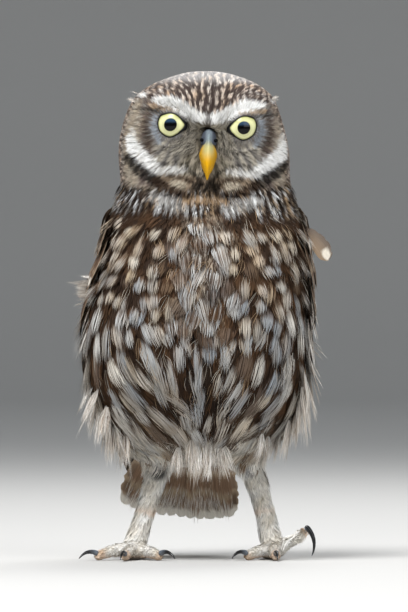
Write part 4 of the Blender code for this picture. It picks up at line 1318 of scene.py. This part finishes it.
def tail_surface(down, across, lift):
    """Points on the tail, down from 0 at its root to 1 at its tip, across from -1 to 1."""
    length = np.linalg.norm(TAIL_TIP - TAIL_ROOT)
    ahead = (TAIL_TIP - TAIL_ROOT) / length
    sideways = unit(np.array((1.0, 0, 0)) - ahead * ahead[0])
    out = np.cross(sideways, ahead)
    out = out if out[1] > 0 else -out
    down, across, lift = np.broadcast_arrays(np.asarray(down, float), across, lift)
    half_width = TAIL_HALF_WIDTHS[0] + (TAIL_HALF_WIDTHS[1] - TAIL_HALF_WIDTHS[0]) * down
    reach = length * down - TAIL_ROUNDING * across**2 * down
    arch = -TAIL_ARCH * np.abs(across)
    points = TAIL_ROOT + ahead * reach[..., None] + sideways * (half_width * across)[..., None]
    points = points + out * (arch + lift)[..., None]
    return points, np.broadcast_to(out, points.shape)


def vane_faces(rows, columns):
    faces = []
    for i in range(rows - 1):
        for j in range(columns - 1):
            a, b = i * columns + j, i * columns + j + 1
            c, d = a + columns, b + columns
            faces += [(a, b, d), (a, d, c)]
    return np.array(faces)


# How far each flight feather tips over the next
FEATHER_ROLL = math.radians(5.5)
# Shapes of vanes: half width at shares of the length
VANES = {
    "long": ((0, 0.3, 0.7, 0.88, 0.96, 1), (0.5, 0.9, 1.0, 0.82, 0.52, 0.16)),
    "round": ((0, 0.3, 0.7, 0.88, 0.96, 1), (0.5, 0.9, 1.0, 0.85, 0.6, 0.25)),
}


def vane(line, ups, half_width, shape, columns, roll, camber, rng):
    """One feather with its vane as a grid: points (rows, columns, 3)."""
    rows = len(line)
    t = np.linspace(0, 1, rows)
    width = half_width * np.interp(t, *VANES[shape])
    ahead = unit(np.gradient(line, axis=0))
    across = unit(np.cross(ahead, ups))
    u = np.linspace(-1, 1, columns)
    side = across[:, None] * (width[:, None] * u)[..., None]
    lift = width[:, None] * (u * math.sin(roll) - camber * u**2)
    fray = rng.normal(size=(rows, columns)) * np.abs(u) ** 4 * 0.05 * half_width
    slant = np.abs(u) * 0.35 * width[:, None] * smooth(0.6, 1.0, t)[:, None]
    ahead_shift = -slant + rng.normal(size=(rows, columns)) * np.abs(u) * 0.05 * half_width
    points = line[:, None] + side * (1 + fray[..., None] / half_width) + ups[:, None] * lift[..., None]
    return points + ahead[:, None] * ahead_shift[..., None]


# Wing feathers from the lowest row to the topmost: how many, the roots' and tips' places
# (down and back on the wing) for the first and last, half width, lift of root and tip, how
# much higher each lies than the one before, and the rows of the vane's grid
LONG_FEATHERS = ("primaries", "secondaries")
WING_TIERS = (
    ("primaries", 9, ((0.50, 0.10), (0.50, 0.52)), ((0.84, 0.02), (0.95, 0.66)), 4.4, (-1.6, -2.6), 0.55, 34),
    ("secondaries", 8, ((0.42, 0.46), (0.36, 0.94)), ((0.83, 0.62), (0.68, 0.98)), 5.2, (-1.4, 0), 0.42, 30),
    ("greater", 9, ((0.36, 0.08), (0.31, 0.88)), ((0.60, 0.10), (0.52, 0.90)), 4.4, (-1.3, 0.7), 0.1, 18),
    ("median", 9, ((0.24, 0.07), (0.21, 0.84)), ((0.44, 0.08), (0.38, 0.86)), 4.4, (-1.3, 0.8), 0.08, 16),
    ("lesser_low", 9, ((0.15, 0.06), (0.13, 0.80)), ((0.32, 0.06), (0.27, 0.82)), 4.2, (-1.2, 1.0), 0.06, 14),
    ("lesser_mid", 8, ((0.07, 0.08), (0.06, 0.78)), ((0.22, 0.08), (0.19, 0.80)), 4.0, (-1.2, 1.2), 0.05, 14),
    ("lesser_top", 7, ((0.01, 0.12), (0.0, 0.74)), ((0.14, 0.10), (0.12, 0.78)), 3.8, (-1.4, 1.3), 0.05, 12),
    ("scapular_low", 5, ((0.20, 0.66), (0.26, 1.0)), ((0.42, 0.78), (0.52, 1.0)), 5.2, (-1.0, 2.2), 0.15, 18),
    ("scapular_top", 5, ((0.06, 0.56), (0.14, 0.98)), ((0.26, 0.68), (0.36, 1)), 5.2, (-1.2, 2.4), 0.15, 18),
)


def flight_marks(u, t, length, half_width, seed, barred, edge, ground=srgb("#664f3e")):
    """Markings of one wing or tail feather: pale bars or spots on brown, and a pale edge."""
    mm = t * length
    wander = np.sin(mm * 0.9 + seed * 5) * 0.25
    colour = mix(ground, DARK_BROWN, 0.35 + 0.2 * np.sin(mm * 0.23 + seed) + 0.1 * u)
    if barred:
        phase = (length - mm - 3.5) / 9.5 + wander * 0.1
        bar = smooth(0.4, 0.95, np.cos(2 * math.pi * phase)) * smooth(0.15, 0.5, np.abs(u) + 0.1 * wander)
        colour = mix(colour, mix(CREAM, BUFF, 0.6), 0.6 * bar)
    else:
        chance = hash_of(seed * 3.1, 1.7, 5)
        side = np.where(u > 0, 0.45 + 0.2 * chance, 0.45)
        off_side = (np.abs(u) - side) * half_width / (1.2 + 0.7 * chance)
        off_place = (length - mm - 3.4 - 2.2 * chance) / 2.2
        spot = 1 - smooth(0.7, 1.2, np.hypot(off_side, off_place))
        colour = mix(colour, mix(WHITE, CREAM, 0.5), 0.85 * spot * smooth(0.2, 0.5, chance))
        off_side = (np.abs(u) - 0.4) * half_width / 1.3
        off_place = (length - mm - 10.5 + 2 * chance) / 1.5
        spot = 1 - smooth(0.6, 1.2, np.hypot(off_side, off_place))
        colour = mix(colour, mix(CREAM, BUFF, 0.4), 0.6 * spot * smooth(0.7, 0.4, chance))
    rim = smooth(0.8, 0.98, np.maximum(np.abs(u) * 0.96, (mm - length * 0.9) / (length * 0.1)))
    colour = mix(colour, mix(CREAM, BUFF, 0.5), rim * edge)
    shaft = smooth(0.09, 0.03, np.abs(u))
    return mix(colour, BLACK_BROWN, 0.3 * shaft)


def stray_marks(u, t, length, half_width):
    """Markings of the loose feather at the left wing's front: one pale spot near its tip."""
    colour = mix(srgb("#5f554d"), BUFF, 0.25 + 0.25 * u)
    spot = np.hypot((u + 0.15) / 0.6, (t - 0.86) / 0.13)
    return mix(colour, mix(WHITE, CREAM, 0.7), 0.85 - 0.85 * smooth(0.75, 1.15, spot))


def add_vane(coat, line, ups, half_width, shape, columns, roll, camber, marks, rng, patch):
    """Adds one feather to a coat, with its markings and its place on the unwrapped piece."""
    points = vane(line, ups, half_width, shape, columns, roll, camber, rng)
    rows = len(line)
    t, u = np.meshgrid(np.linspace(0, 1, rows), np.linspace(-1, 1, columns), indexing="ij")
    length = np.linalg.norm(np.diff(line, axis=0), axis=1).sum()
    colours = marks(u, t, length, half_width)
    uvs = np.stack([0.5 + 0.5 * u, t], -1).reshape(1, -1, 2)
    left, bottom, width, height = patch
    patches = np.array((left, bottom)) + uvs * (width, height)
    coat.add(points.reshape(1, -1, 3), vane_faces(rows, columns), colours.reshape(1, -1, 3), uvs, patches)


def atlas(count):
    """Places side by side for the unwrapped feathers of a piece."""
    across = math.ceil(math.sqrt(count * 2))
    down = math.ceil(count / across)
    for i in range(count):
        yield ((i % across) / across + 0.001, (i // across) / down + 0.001, 0.96 / across, 0.96 / down)


def make_wing(side):
    """One folded wing: a core in a dark brown that is painted shade, and its flight feathers and coverts laid
    like tiles.
    """
    rng = np.random.default_rng(SEED + side)
    coat = Coat()
    places = atlas(sum(tier[1] for tier in WING_TIERS) + 1)
    for name, count, roots, tips, half_width, lifts, step, rows in WING_TIERS:
        barred = name in LONG_FEATHERS
        shape = "long" if barred else "round"
        columns = 7 if name.startswith("lesser") else 9
        for i in range(count):
            s = i / (count - 1)
            root = np.array(roots[0]) * (1 - s) + np.array(roots[1]) * s
            tip = np.array(tips[0]) * (1 - s) + np.array(tips[1]) * s
            if name == "primaries":
                tip[0] += 0.085 * math.sin(math.pi * s)
            tip = tip + rng.uniform(-1, 1, 2) * (0.016, 0.014)
            t = np.linspace(0, 1, rows)
            lift = lifts[0] + (lifts[1] + step * i - lifts[0]) * np.minimum(1, t * 1.5)
            down, back = (start + (end - start) * t for start, end in zip(root, tip))
            line, ups = wing_surface(side, down, back, lift)
            edge = 0.6 if i < 2 else 0.2
            marks = functools.partial(flight_marks, seed=i + rng.random(), barred=barred, edge=edge)
            roll = side * FEATHER_ROLL * rng.uniform(0.8, 1.2)
            width = half_width * rng.uniform(0.94, 1.06)
            add_vane(coat, line, ups, width, shape, columns, roll, 0.1, marks, rng, next(places))
    if side == LEFT:
        t = np.linspace(0, 3, 18)
        line = along(STRAY_FEATHER, t)
        ups = np.broadcast_to(unit(np.array((0.25, -1, 0.2))), line.shape)
        shape = {"half_width": 4.0, "shape": "round", "columns": 9, "roll": 0.05, "camber": 0.1}
        add_vane(coat, line, ups, marks=stray_marks, rng=rng, patch=next(places), **shape)
    name = "wing_" + SIDE_NAMES[side]
    coat.build("feathers_" + name, feather_material(*FLIGHT_FEATHER), [name])
    core_rows, core_columns = 22, 10
    down, back = np.linspace(0, 0.84, core_rows), np.linspace(0.1, 0.9, core_columns)
    down, back = np.meshgrid(down, back, indexing="ij")
    core = Coat()
    for lift, turned in ((-0.9, False), (-4.5, True)):
        points, _ = wing_surface(side, down, back, np.full(down.shape, lift))
        faces = vane_faces(core_rows, core_columns)
        faces = faces[:, ::-1] if turned else faces
        # The core's dark brown is painted shade, seen in the gaps between the wing's feathers
        colours = np.broadcast_to(srgb("#54412f"), (1, down.size, 3))
        uvs = np.stack([back, down], -1).reshape(1, -1, 2)
        core.add(points.reshape(1, -1, 3), faces, colours, uvs, uvs * 0.45 + (0 if turned else 0.5))
    core.build("shaded_core_" + name, feather_material(*FLIGHT_FEATHER))


def make_tail():
    """Twelve barred tail feathers with the middle pair on top, and their soft ends and coverts."""
    rng = np.random.default_rng(SEED + 5)
    coat = Coat()
    places = atlas(TAIL_FEATHERS + TAIL_COVERTS)
    ground = srgb("#927b67")

    def tail_marks(u, t, length, half_width, seed):
        colour = flight_marks(u, t, length, half_width, seed, barred=True, edge=0.5, ground=ground)
        left = (1 - t) * length + 0.5 * np.sin(9 * u + seed)
        return mix(colour, mix(CREAM, WHITE, 0.5), 0.95 * smooth(5.0, 3.0, left))

    half_count = (TAIL_FEATHERS - 1) / 2
    for i in range(TAIL_FEATHERS):
        across = (i - half_count) / half_count
        t = np.linspace(0, 1, 32)
        line, ups = tail_surface(0.24 + 0.72 * t, across * (0.8 + 0.2 * t), 0.0)
        marks = functools.partial(tail_marks, seed=i)
        roll = -math.copysign(FEATHER_ROLL, across)
        shape = {"half_width": 5.8, "shape": "round", "columns": 11, "roll": roll, "camber": 0.06}
        add_vane(coat, line, ups, marks=marks, rng=rng, patch=next(places), **shape)
    for across in np.linspace(-0.8, 0.8, TAIL_COVERTS):
        t = np.linspace(0, 1, 16)
        line, ups = tail_surface(0.05 + 0.55 * t, across * (0.7 + 0.3 * t), 0.6 + 1.6 * t)
        marks = functools.partial(flight_marks, seed=across, barred=False, edge=0.5)
        roll = -math.copysign(FEATHER_ROLL, across)
        shape = {"half_width": 5.2, "shape": "round", "columns": 9, "roll": roll, "camber": 0.1}
        add_vane(coat, line, ups, marks=marks, rng=rng, patch=next(places), **shape)
    coat.build("feathers_tail", feather_material(*FLIGHT_FEATHER), ["tail"])

    coat = Coat()
    for face in (1, -1):
        starts = np.linspace(-0.97, 0.97, TAIL_TUFTS)
        t = np.linspace(0, 1, 6)
        reach = rng.uniform(0.9, 1.0, (TAIL_TUFTS, 1))
        across = starts[:, None] * (0.9 + 0.1 * t)
        lines, ups = tail_surface(0.5 + (reach - 0.5) * t, across, face * (0.5 + 0.5 * t))

        def marks(u, t):
            bar = smooth(0.3, 0.9, np.cos(2 * math.pi * (1 - t) * 2.7 - 0.6)) * (0.5 if face > 0 else 0.7)
            colour = mix(ground, DARK_BROWN, 0.35) if face > 0 else srgb("#8f745e")
            colour = mix(colour, mix(CREAM, BUFF, 0.5), bar)
            own = t / t[..., -1:] + 0.04 * rng.normal(size=(*t.shape[:2], 1))
            return mix(colour, mix(CREAM, WHITE, 0.3 if face > 0 else 0.7), 0.95 * smooth(0.8, 0.92, own))

        looks = {"strands": 29, "lifts": 0.5, "depth": 0.6, "curl": 0.1, "stations": 12}
        looks |= {"thick": 1.6, "root_tone": 1}
        add_tufts(coat, lines, ups * face, np.full(TAIL_TUFTS, 3.6), rng=rng, marks=marks, **looks)
    covert_count = 26
    down = 0.1 + np.linspace(0, 1, 6) * rng.uniform(0.28, 0.46, (covert_count, 1))
    lines, ups = tail_surface(down, rng.uniform(-0.8, 0.8, (covert_count, 1)), -1.5)
    tones = toned(mix(mix(WHITE, CREAM, 0.6), BUFF, 0.5 * rng.random(covert_count)))
    looks = {"strands": 19, "lifts": 2.0, "depth": 0.5, "curl": 0.3, "stations": 6, "thick": 1.5}
    add_tufts(coat, lines, -ups, np.full(covert_count, 3.0), rng=rng, marks=tones, **looks)
    coat.build("plumage_tail", feather_material())


def refined(node, levels):
    """A solid's mesh with its corners joined and its surface made fine."""
    obj = linked(node, mesh_from(merged_copy(node), node))
    finer = obj.modifiers.new("Fine surface", "SUBSURF")
    finer.levels = finer.render_levels = levels
    made = evaluated_mesh(obj)
    bpy.data.objects.remove(obj)
    return made


def bill_rings(rows, count, segments, ridge):
    """Rings of a bill piece, pinched to a ridge along its front."""
    places = np.linspace(0, len(rows) - 1, count)
    turn = np.linspace(0, 2 * math.pi, segments, endpoint=False)
    rings = []
    for height, front, half_width, depth in along(rows, places):
        across, deep = np.cos(turn), -np.sin(turn)
        back = (1 + deep) / 2
        pinch = 1 - ridge * (1 - back) ** 1.5
        sideways = BILL_SHIFT + half_width * across * pinch
        point = face_point(sideways, height - EYE_HEIGHT, front + depth * back)
        rings.append(np.stack(np.broadcast_arrays(*point), -1))
    return np.array(rings)


def closed_ends(rings):
    """Rings with a last one drawn in to a point at each end."""
    first, last = (ring.mean(0) * 0.999 + ring * 0.001 for ring in (rings[0], rings[-1]))
    return np.concatenate([first[None], rings, last[None]])


def make_bill(horn_colour):
    """The hooked yellow bill, the lower bill, and the grey cere with its nostrils."""
    horn = painted_material("bill horn", 0.45, 0.25)
    for name, rows, ridge in (("bill_upper", BILL_ROWS, 0.5), ("bill_lower", LOWER_BILL_ROWS, 0.1)):
        rings = closed_ends(bill_rings(rows, count=40, segments=48, ridge=ridge))
        a, u = face_axes(rings)
        side = np.abs(a - BILL_SHIFT)
        colour = mix(srgb("#b3aa72"), horn_colour, smooth(-9.5, -16.0, u))
        # Painted shade: the bill's lower sides in a darker copy of the horn colour
        colour = mix(colour, horn_colour * 0.75, smooth(1.2, 3.4, side) * smooth(-5, -9, u))
        colour = mix(colour, srgb("#7b878c"), smooth(-9.5, -5.5, u) * smooth(2.6, 1.2, side))
        ring_piece("horn_" + name, rings, colour, horn, [name])
    skin = painted_material("cere skin", 0.6, 0.25)
    rings = closed_ends(bill_rings(CERE_ROWS, count=20, segments=40, ridge=0.35))
    side = np.abs(face_axes(rings)[0] - BILL_SHIFT)
    # Painted shade: the cere's sides in a darker copy of its blue-grey
    colour = mix(srgb("#677178"), srgb("#434852"), smooth(0.8, 2.0, side))
    ring_piece("skin_cere", rings, colour, skin, ["cere"])
    dark, _ = new_material("nostril", 0.8, 0.1, srgb("#08080a"))
    bm = bmesh.new()
    for side in (RIGHT, LEFT):
        made = bmesh.ops.create_uvsphere(bm, u_segments=16, v_segments=10, radius=1.0 * MM)
        bmesh.ops.scale(bm, vec=(0.85, 0.7, 0.8), verts=made["verts"])
        across, up, depth = NOSTRIL_PLACE
        place = to_metres(face_point(BILL_SHIFT + side * across, up, depth))
        bmesh.ops.translate(bm, vec=Vector(place), verts=made["verts"])
    placed("nostrils", mesh_from(bm, "nostrils"), dark)


def make_claws():
    """Curved claws, blue-grey at the root and black at the point."""
    horn = painted_material("claw horn", 0.25, 0.5)
    for node in sorted(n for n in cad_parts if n.startswith("claw")):
        mesh = refined(node, levels=2)
        points = to_drawing(vertex_array(mesh))
        reach = hub_distance(points)
        share = (reach - reach.min()) / np.ptp(reach)
        paint(mesh, mix(srgb("#6a727c"), srgb("#0d0e11"), smooth(0.0, 0.55, share)))
        placed("horn_" + node, mesh, horn, [node])


def eye_frame(side):
    """The eye's directions: to its own outer side, up, and ahead."""
    ahead = eye_direction(side)
    outward = unit(np.cross(ahead, (0, 0, 1.0)) * -side)
    outward = outward if outward[0] * side > 0 else -outward
    roll = math.sin(HEAD_ROLL)
    up = unit(np.array((roll, 0, 1.0)))
    return outward, up, ahead


def lid_edge(angle):
    """The distance of the lids' edge from the eye's middle, at angles from its outer side."""
    rows = np.array(LID_EDGE)
    return np.interp(np.degrees(angle) % 360, rows[:, 0], rows[:, 1], period=360)


def lid_rim(angle):
    """How broad the black rim is: widest in the inner corner."""
    turn = np.degrees(angle) % 360
    return 0.42 + 1.3 * np.exp(-(((turn - 186) / 26) ** 2)) + 0.35 * np.exp(-(((turn - 40) / 30) ** 2))


def on_lid(side, radius, angle, rise):
    """Places on the eye's ball or its lids: so far from its axis, and so high over the ball."""
    outward, up, ahead = eye_frame(side)
    radius, angle, rise = np.broadcast_arrays(radius, angle, rise)
    forward = np.sqrt(np.maximum(EYE_RADIUS**2 - radius**2, 0.3)) + rise
    return (
        eye_middle(side)
        + (radius * np.cos(angle))[..., None] * outward
        + (radius * np.sin(angle))[..., None] * up
        + forward[..., None] * ahead
    )


def make_eyes(iris_colour, pupil_radius):
    """Each eye: a glossy ball with a pale yellow iris, and the dark lids round it."""
    ball = painted_material("wet eye", 0.04, 0.22)
    lid = painted_material("lid skin", 0.55, 0.3)
    for side in (RIGHT, LEFT):
        rings, segments = 90, 96
        tilt = np.linspace(0, math.pi * 0.49, rings)[:, None]
        turn = np.linspace(0, 2 * math.pi, segments, endpoint=False)[None]
        points = on_lid(side, np.sin(tilt) * EYE_RADIUS, turn, 0.0)
        r = np.broadcast_to(np.sin(tilt) * EYE_RADIUS, points.shape[:2])
        fibre = 0.5 + 0.25 * np.sin(turn * 47 + r * 1.3) + 0.25 * np.sin(turn * 29 - r * 2.1)
        iris = mix(iris_colour * 0.8, iris_colour, smooth(3.0, 4.2, r) * (0.6 + 0.4 * fibre))
        inside = lid_edge(turn) - r
        iris = mix(iris, srgb("#6f7138"), 0.75 * smooth(0.7, 0.0, inside))
        # Painted shadow of the upper lid on the top of the iris
        iris = mix(iris, srgb("#8f9150"), 0.5 * smooth(2.2, 0.3, inside) * smooth(0.2, 0.8, np.sin(turn)))
        # Painted reflection of the sky: dark blue over the upper half of the pupil
        pupil = mix(srgb("#030304"), srgb("#2b4056"), smooth(0.4, 1.9, r * np.sin(turn)))
        colour = mix(pupil, iris, smooth(pupil_radius - 0.12, pupil_radius + 0.12, r))
        colour = mix(colour, LID_BLACK, smooth(0.0, -0.25, inside))
        ring_piece("eyeball_" + SIDE_NAMES[side], points, colour, ball, ["eye_" + SIDE_NAMES[side]])

        turn = turn[0]
        edge, rim = lid_edge(turn), lid_rim(turn)
        rings, tones = [], []
        for share, rise in ((0.0, -0.2), (0.0, 0.12), (0.3, 0.25), (0.8, 0.28), (1.0, 0.2)):
            rings.append(on_lid(side, edge + rim * share, turn, rise))
            tones.append(np.broadcast_to(LID_BLACK, (segments, 3)))
        for share, rise in ((0.08, 0.2), (0.5, 0.18), (0.85, 0.0), (1.0, -0.4)):
            radius = edge + rim + (LID_REACH - 0.1 - edge - rim) * share
            rings.append(on_lid(side, radius, turn, rise))
            tones.append(marked_face(rings[-1], face_colour(rings[-1])) * 0.7)
        ring_piece("lid_" + SIDE_NAMES[side], np.array(rings), np.array(tones), lid)


def ring_piece(name, points, colour, material, replaced=()):
    """A surface through rings of points, closed round each ring."""
    bm = bmesh.new()
    verts = [[bm.verts.new(p) for p in ring] for ring in to_metres(points)]
    for inner, outer in zip(verts, verts[1:]):
        for i in range(len(inner)):
            j = (i + 1) % len(inner)
            bm.faces.new((inner[i], inner[j], outer[j], outer[i]))
    mesh = mesh_from(bm, name)
    paint(mesh, colour.reshape(-1, 3))
    middle = to_metres(points.reshape(-1, 3).mean(0))
    if sum(p.normal.dot(Vector(p.center) - Vector(middle)) for p in mesh.polygons) < 0:
        mesh.flip_normals()
    placed(name, mesh, material, replaced)


# The floor's profile in metres, turned round the bird: reach and height
FLOOR_PROFILE = (
    (0, 0),
    (0.4, 0),
    (1.5, 0),
    (5.0, 0),
    (5.6, 0.06),
    (6.0, 0.25),
    (6.25, 0.6),
    (6.35, 1.2),
    (6.4, 5.0),
)
# Place and size in metres, and power as a share of the main light's
LIGHTS = (
    ("key", (-0.45, -0.9, 1.7), 0.8, 1.0),
    ("fill", (1.0, -1.4, 0.9), 1.2, 0.25),
    ("rim", (0.3, 0.9, 1.3), 0.8, 0.28),
)
CAMERA_PLACE = (-0.0002, -3.0126, 0.1092)
CAMERA_LENS = 410


def make_stage(key_power, sky, paper_colour):
    """A pale floor that curves up far all round the bird, soft lights, and the camera in front."""
    paper, _ = new_material("pale studio paper", 0.9, 0.1, paper_colour)
    bm = bmesh.new()
    verts = [bm.verts.new((reach, 0, height)) for reach, height in FLOOR_PROFILE]
    edges = [bm.edges.new(pair) for pair in zip(verts, verts[1:])]
    bmesh.ops.spin(
        bm, geom=verts + edges, cent=(0, 0, 0), axis=(0, 0, 1), angle=2 * math.pi, steps=96, use_merge=True
    )
    bmesh.ops.remove_doubles(bm, verts=bm.verts, dist=1e-5)
    mesh = mesh_from(bm, "floor")
    if mesh.polygons[0].normal.z < 0:
        mesh.flip_normals()
    mesh.shade_smooth()
    mesh.materials.append(paper)
    floor = linked("floor", mesh)

    for name, place, size, share in LIGHTS:
        light = bpy.data.lights.new(name, "AREA")
        light.energy = key_power * share
        light.size = size
        lamp = linked(name, light)
        lamp.location = place
        lamp.rotation_euler = (Vector((0, 0, 0.1)) - Vector(place)).to_track_quat("-Z", "Y").to_euler()
    world = bpy.data.worlds.new("studio")
    world.use_nodes = True
    world.node_tree.nodes["Background"].inputs["Color"].default_value = (0.9, 0.95, 1.0, 1)
    world.node_tree.nodes["Background"].inputs["Strength"].default_value = sky
    bpy.context.scene.world = world
    bpy.context.scene.view_settings.view_transform = "Standard"

    camera = bpy.data.cameras.new("camera")
    camera.lens = CAMERA_LENS
    camera.sensor_width = 36
    camera.clip_end = 50
    eye = linked("camera", camera)
    eye.location = CAMERA_PLACE
    eye.rotation_euler = (math.radians(90), 0, 0)
    bpy.context.scene.camera = eye


class OwlSettings(bpy.types.PropertyGroup):
    density: FloatProperty(
        name="Coat density",
        description="How many tufts grow, as a share of the full coat",
        default=1.0,
        min=0.1,
        max=1.5,
    )
    key_power: FloatProperty(
        name="Key light", description="Power of the main light", default=44.0, unit="POWER"
    )
    sky: FloatProperty(name="Sky", description="Strength of the even light all round", default=0.52, min=0)
    pupil: FloatProperty(
        name="Pupil",
        description="Radius of the pupils",
        default=PUPIL_RADIUS * MM,
        min=0.001,
        max=0.005,
        unit="LENGTH",
    )
    iris: FloatVectorProperty(
        name="Iris", description="Colour of the iris", default=tuple(srgb("#e3e3ad")), subtype="COLOR"
    )
    bill: FloatVectorProperty(
        name="Bill", description="Colour of the bill's horn", default=tuple(srgb("#d29c00")), subtype="COLOR"
    )
    paper: FloatVectorProperty(
        name="Floor",
        description="Colour of the floor's paper",
        default=tuple(srgb("#c2c1bf")),
        subtype="COLOR",
    )


class OWL_OT_skin(bpy.types.Operator):
    """Make the one skin that the coat grows from"""

    bl_idname = "owl.skin"
    bl_label = "Skin"

    def execute(self, context):
        make_skin()
        return {"FINISHED"}


class OWL_OT_coat(bpy.types.Operator):
    """Grow the plumage of the head, body and legs"""

    bl_idname = "owl.coat"
    bl_label = "Coat"

    def execute(self, context):
        make_fine_coat(context.scene.owl.density)
        make_contour_coat(context.scene.owl.density)
        make_bristles()
        make_wisps()
        return {"FINISHED"}


class OWL_OT_wings(bpy.types.Operator):
    """Lay the feathers of both wings"""

    bl_idname = "owl.wings"
    bl_label = "Wings"

    def execute(self, context):
        for side in (RIGHT, LEFT):
            make_wing(side)
        return {"FINISHED"}


class OWL_OT_tail(bpy.types.Operator):
    """Lay the feathers of the tail"""

    bl_idname = "owl.tail"
    bl_label = "Tail"

    def execute(self, context):
        make_tail()
        return {"FINISHED"}


class OWL_OT_eyes(bpy.types.Operator):
    """Make the eyes and their lids"""

    bl_idname = "owl.eyes"
    bl_label = "Eyes"

    def execute(self, context):
        settings = context.scene.owl
        make_eyes(np.array(settings.iris), settings.pupil / MM)
        return {"FINISHED"}


class OWL_OT_bill(bpy.types.Operator):
    """Make the bill, cere and nostrils"""

    bl_idname = "owl.bill"
    bl_label = "Bill"

    def execute(self, context):
        make_bill(np.array(context.scene.owl.bill))
        return {"FINISHED"}


class OWL_OT_claws(bpy.types.Operator):
    """Make the claws"""

    bl_idname = "owl.claws"
    bl_label = "Claws"

    def execute(self, context):
        make_claws()
        return {"FINISHED"}


class OWL_OT_stage(bpy.types.Operator):
    """Set the floor, lights and camera"""

    bl_idname = "owl.stage"
    bl_label = "Stage"

    def execute(self, context):
        settings = context.scene.owl
        make_stage(settings.key_power, settings.sky, settings.paper)
        return {"FINISHED"}


OPERATORS = (
    OWL_OT_skin,
    OWL_OT_coat,
    OWL_OT_wings,
    OWL_OT_tail,
    OWL_OT_eyes,
    OWL_OT_bill,
    OWL_OT_claws,
    OWL_OT_stage,
)


class OWL_PT_panel(bpy.types.Panel):
    """The owl's sizes and steps"""

    bl_label = "Little Owl"
    bl_space_type = "VIEW_3D"
    bl_region_type = "UI"
    bl_category = "Owl"

    def draw(self, context):
        for name in OwlSettings.__annotations__:
            self.layout.prop(context.scene.owl, name)
        for operator in OPERATORS:
            self.layout.operator(operator.bl_idname)


CLASSES = (OwlSettings, *OPERATORS, OWL_PT_panel)


def register():
    for made in CLASSES:
        bpy.utils.register_class(made)
    bpy.types.Scene.owl = PointerProperty(type=OwlSettings)


def unregister():
    del bpy.types.Scene.owl
    for made in reversed(CLASSES):
        bpy.utils.unregister_class(made)


def main():
    register()
    bpy.ops.owl.skin()
    bpy.ops.owl.coat()
    bpy.ops.owl.wings()
    bpy.ops.owl.tail()
    bpy.ops.owl.eyes()
    bpy.ops.owl.bill()
    bpy.ops.owl.claws()
    bpy.ops.owl.stage()


if __name__ == "__main__":
    main()
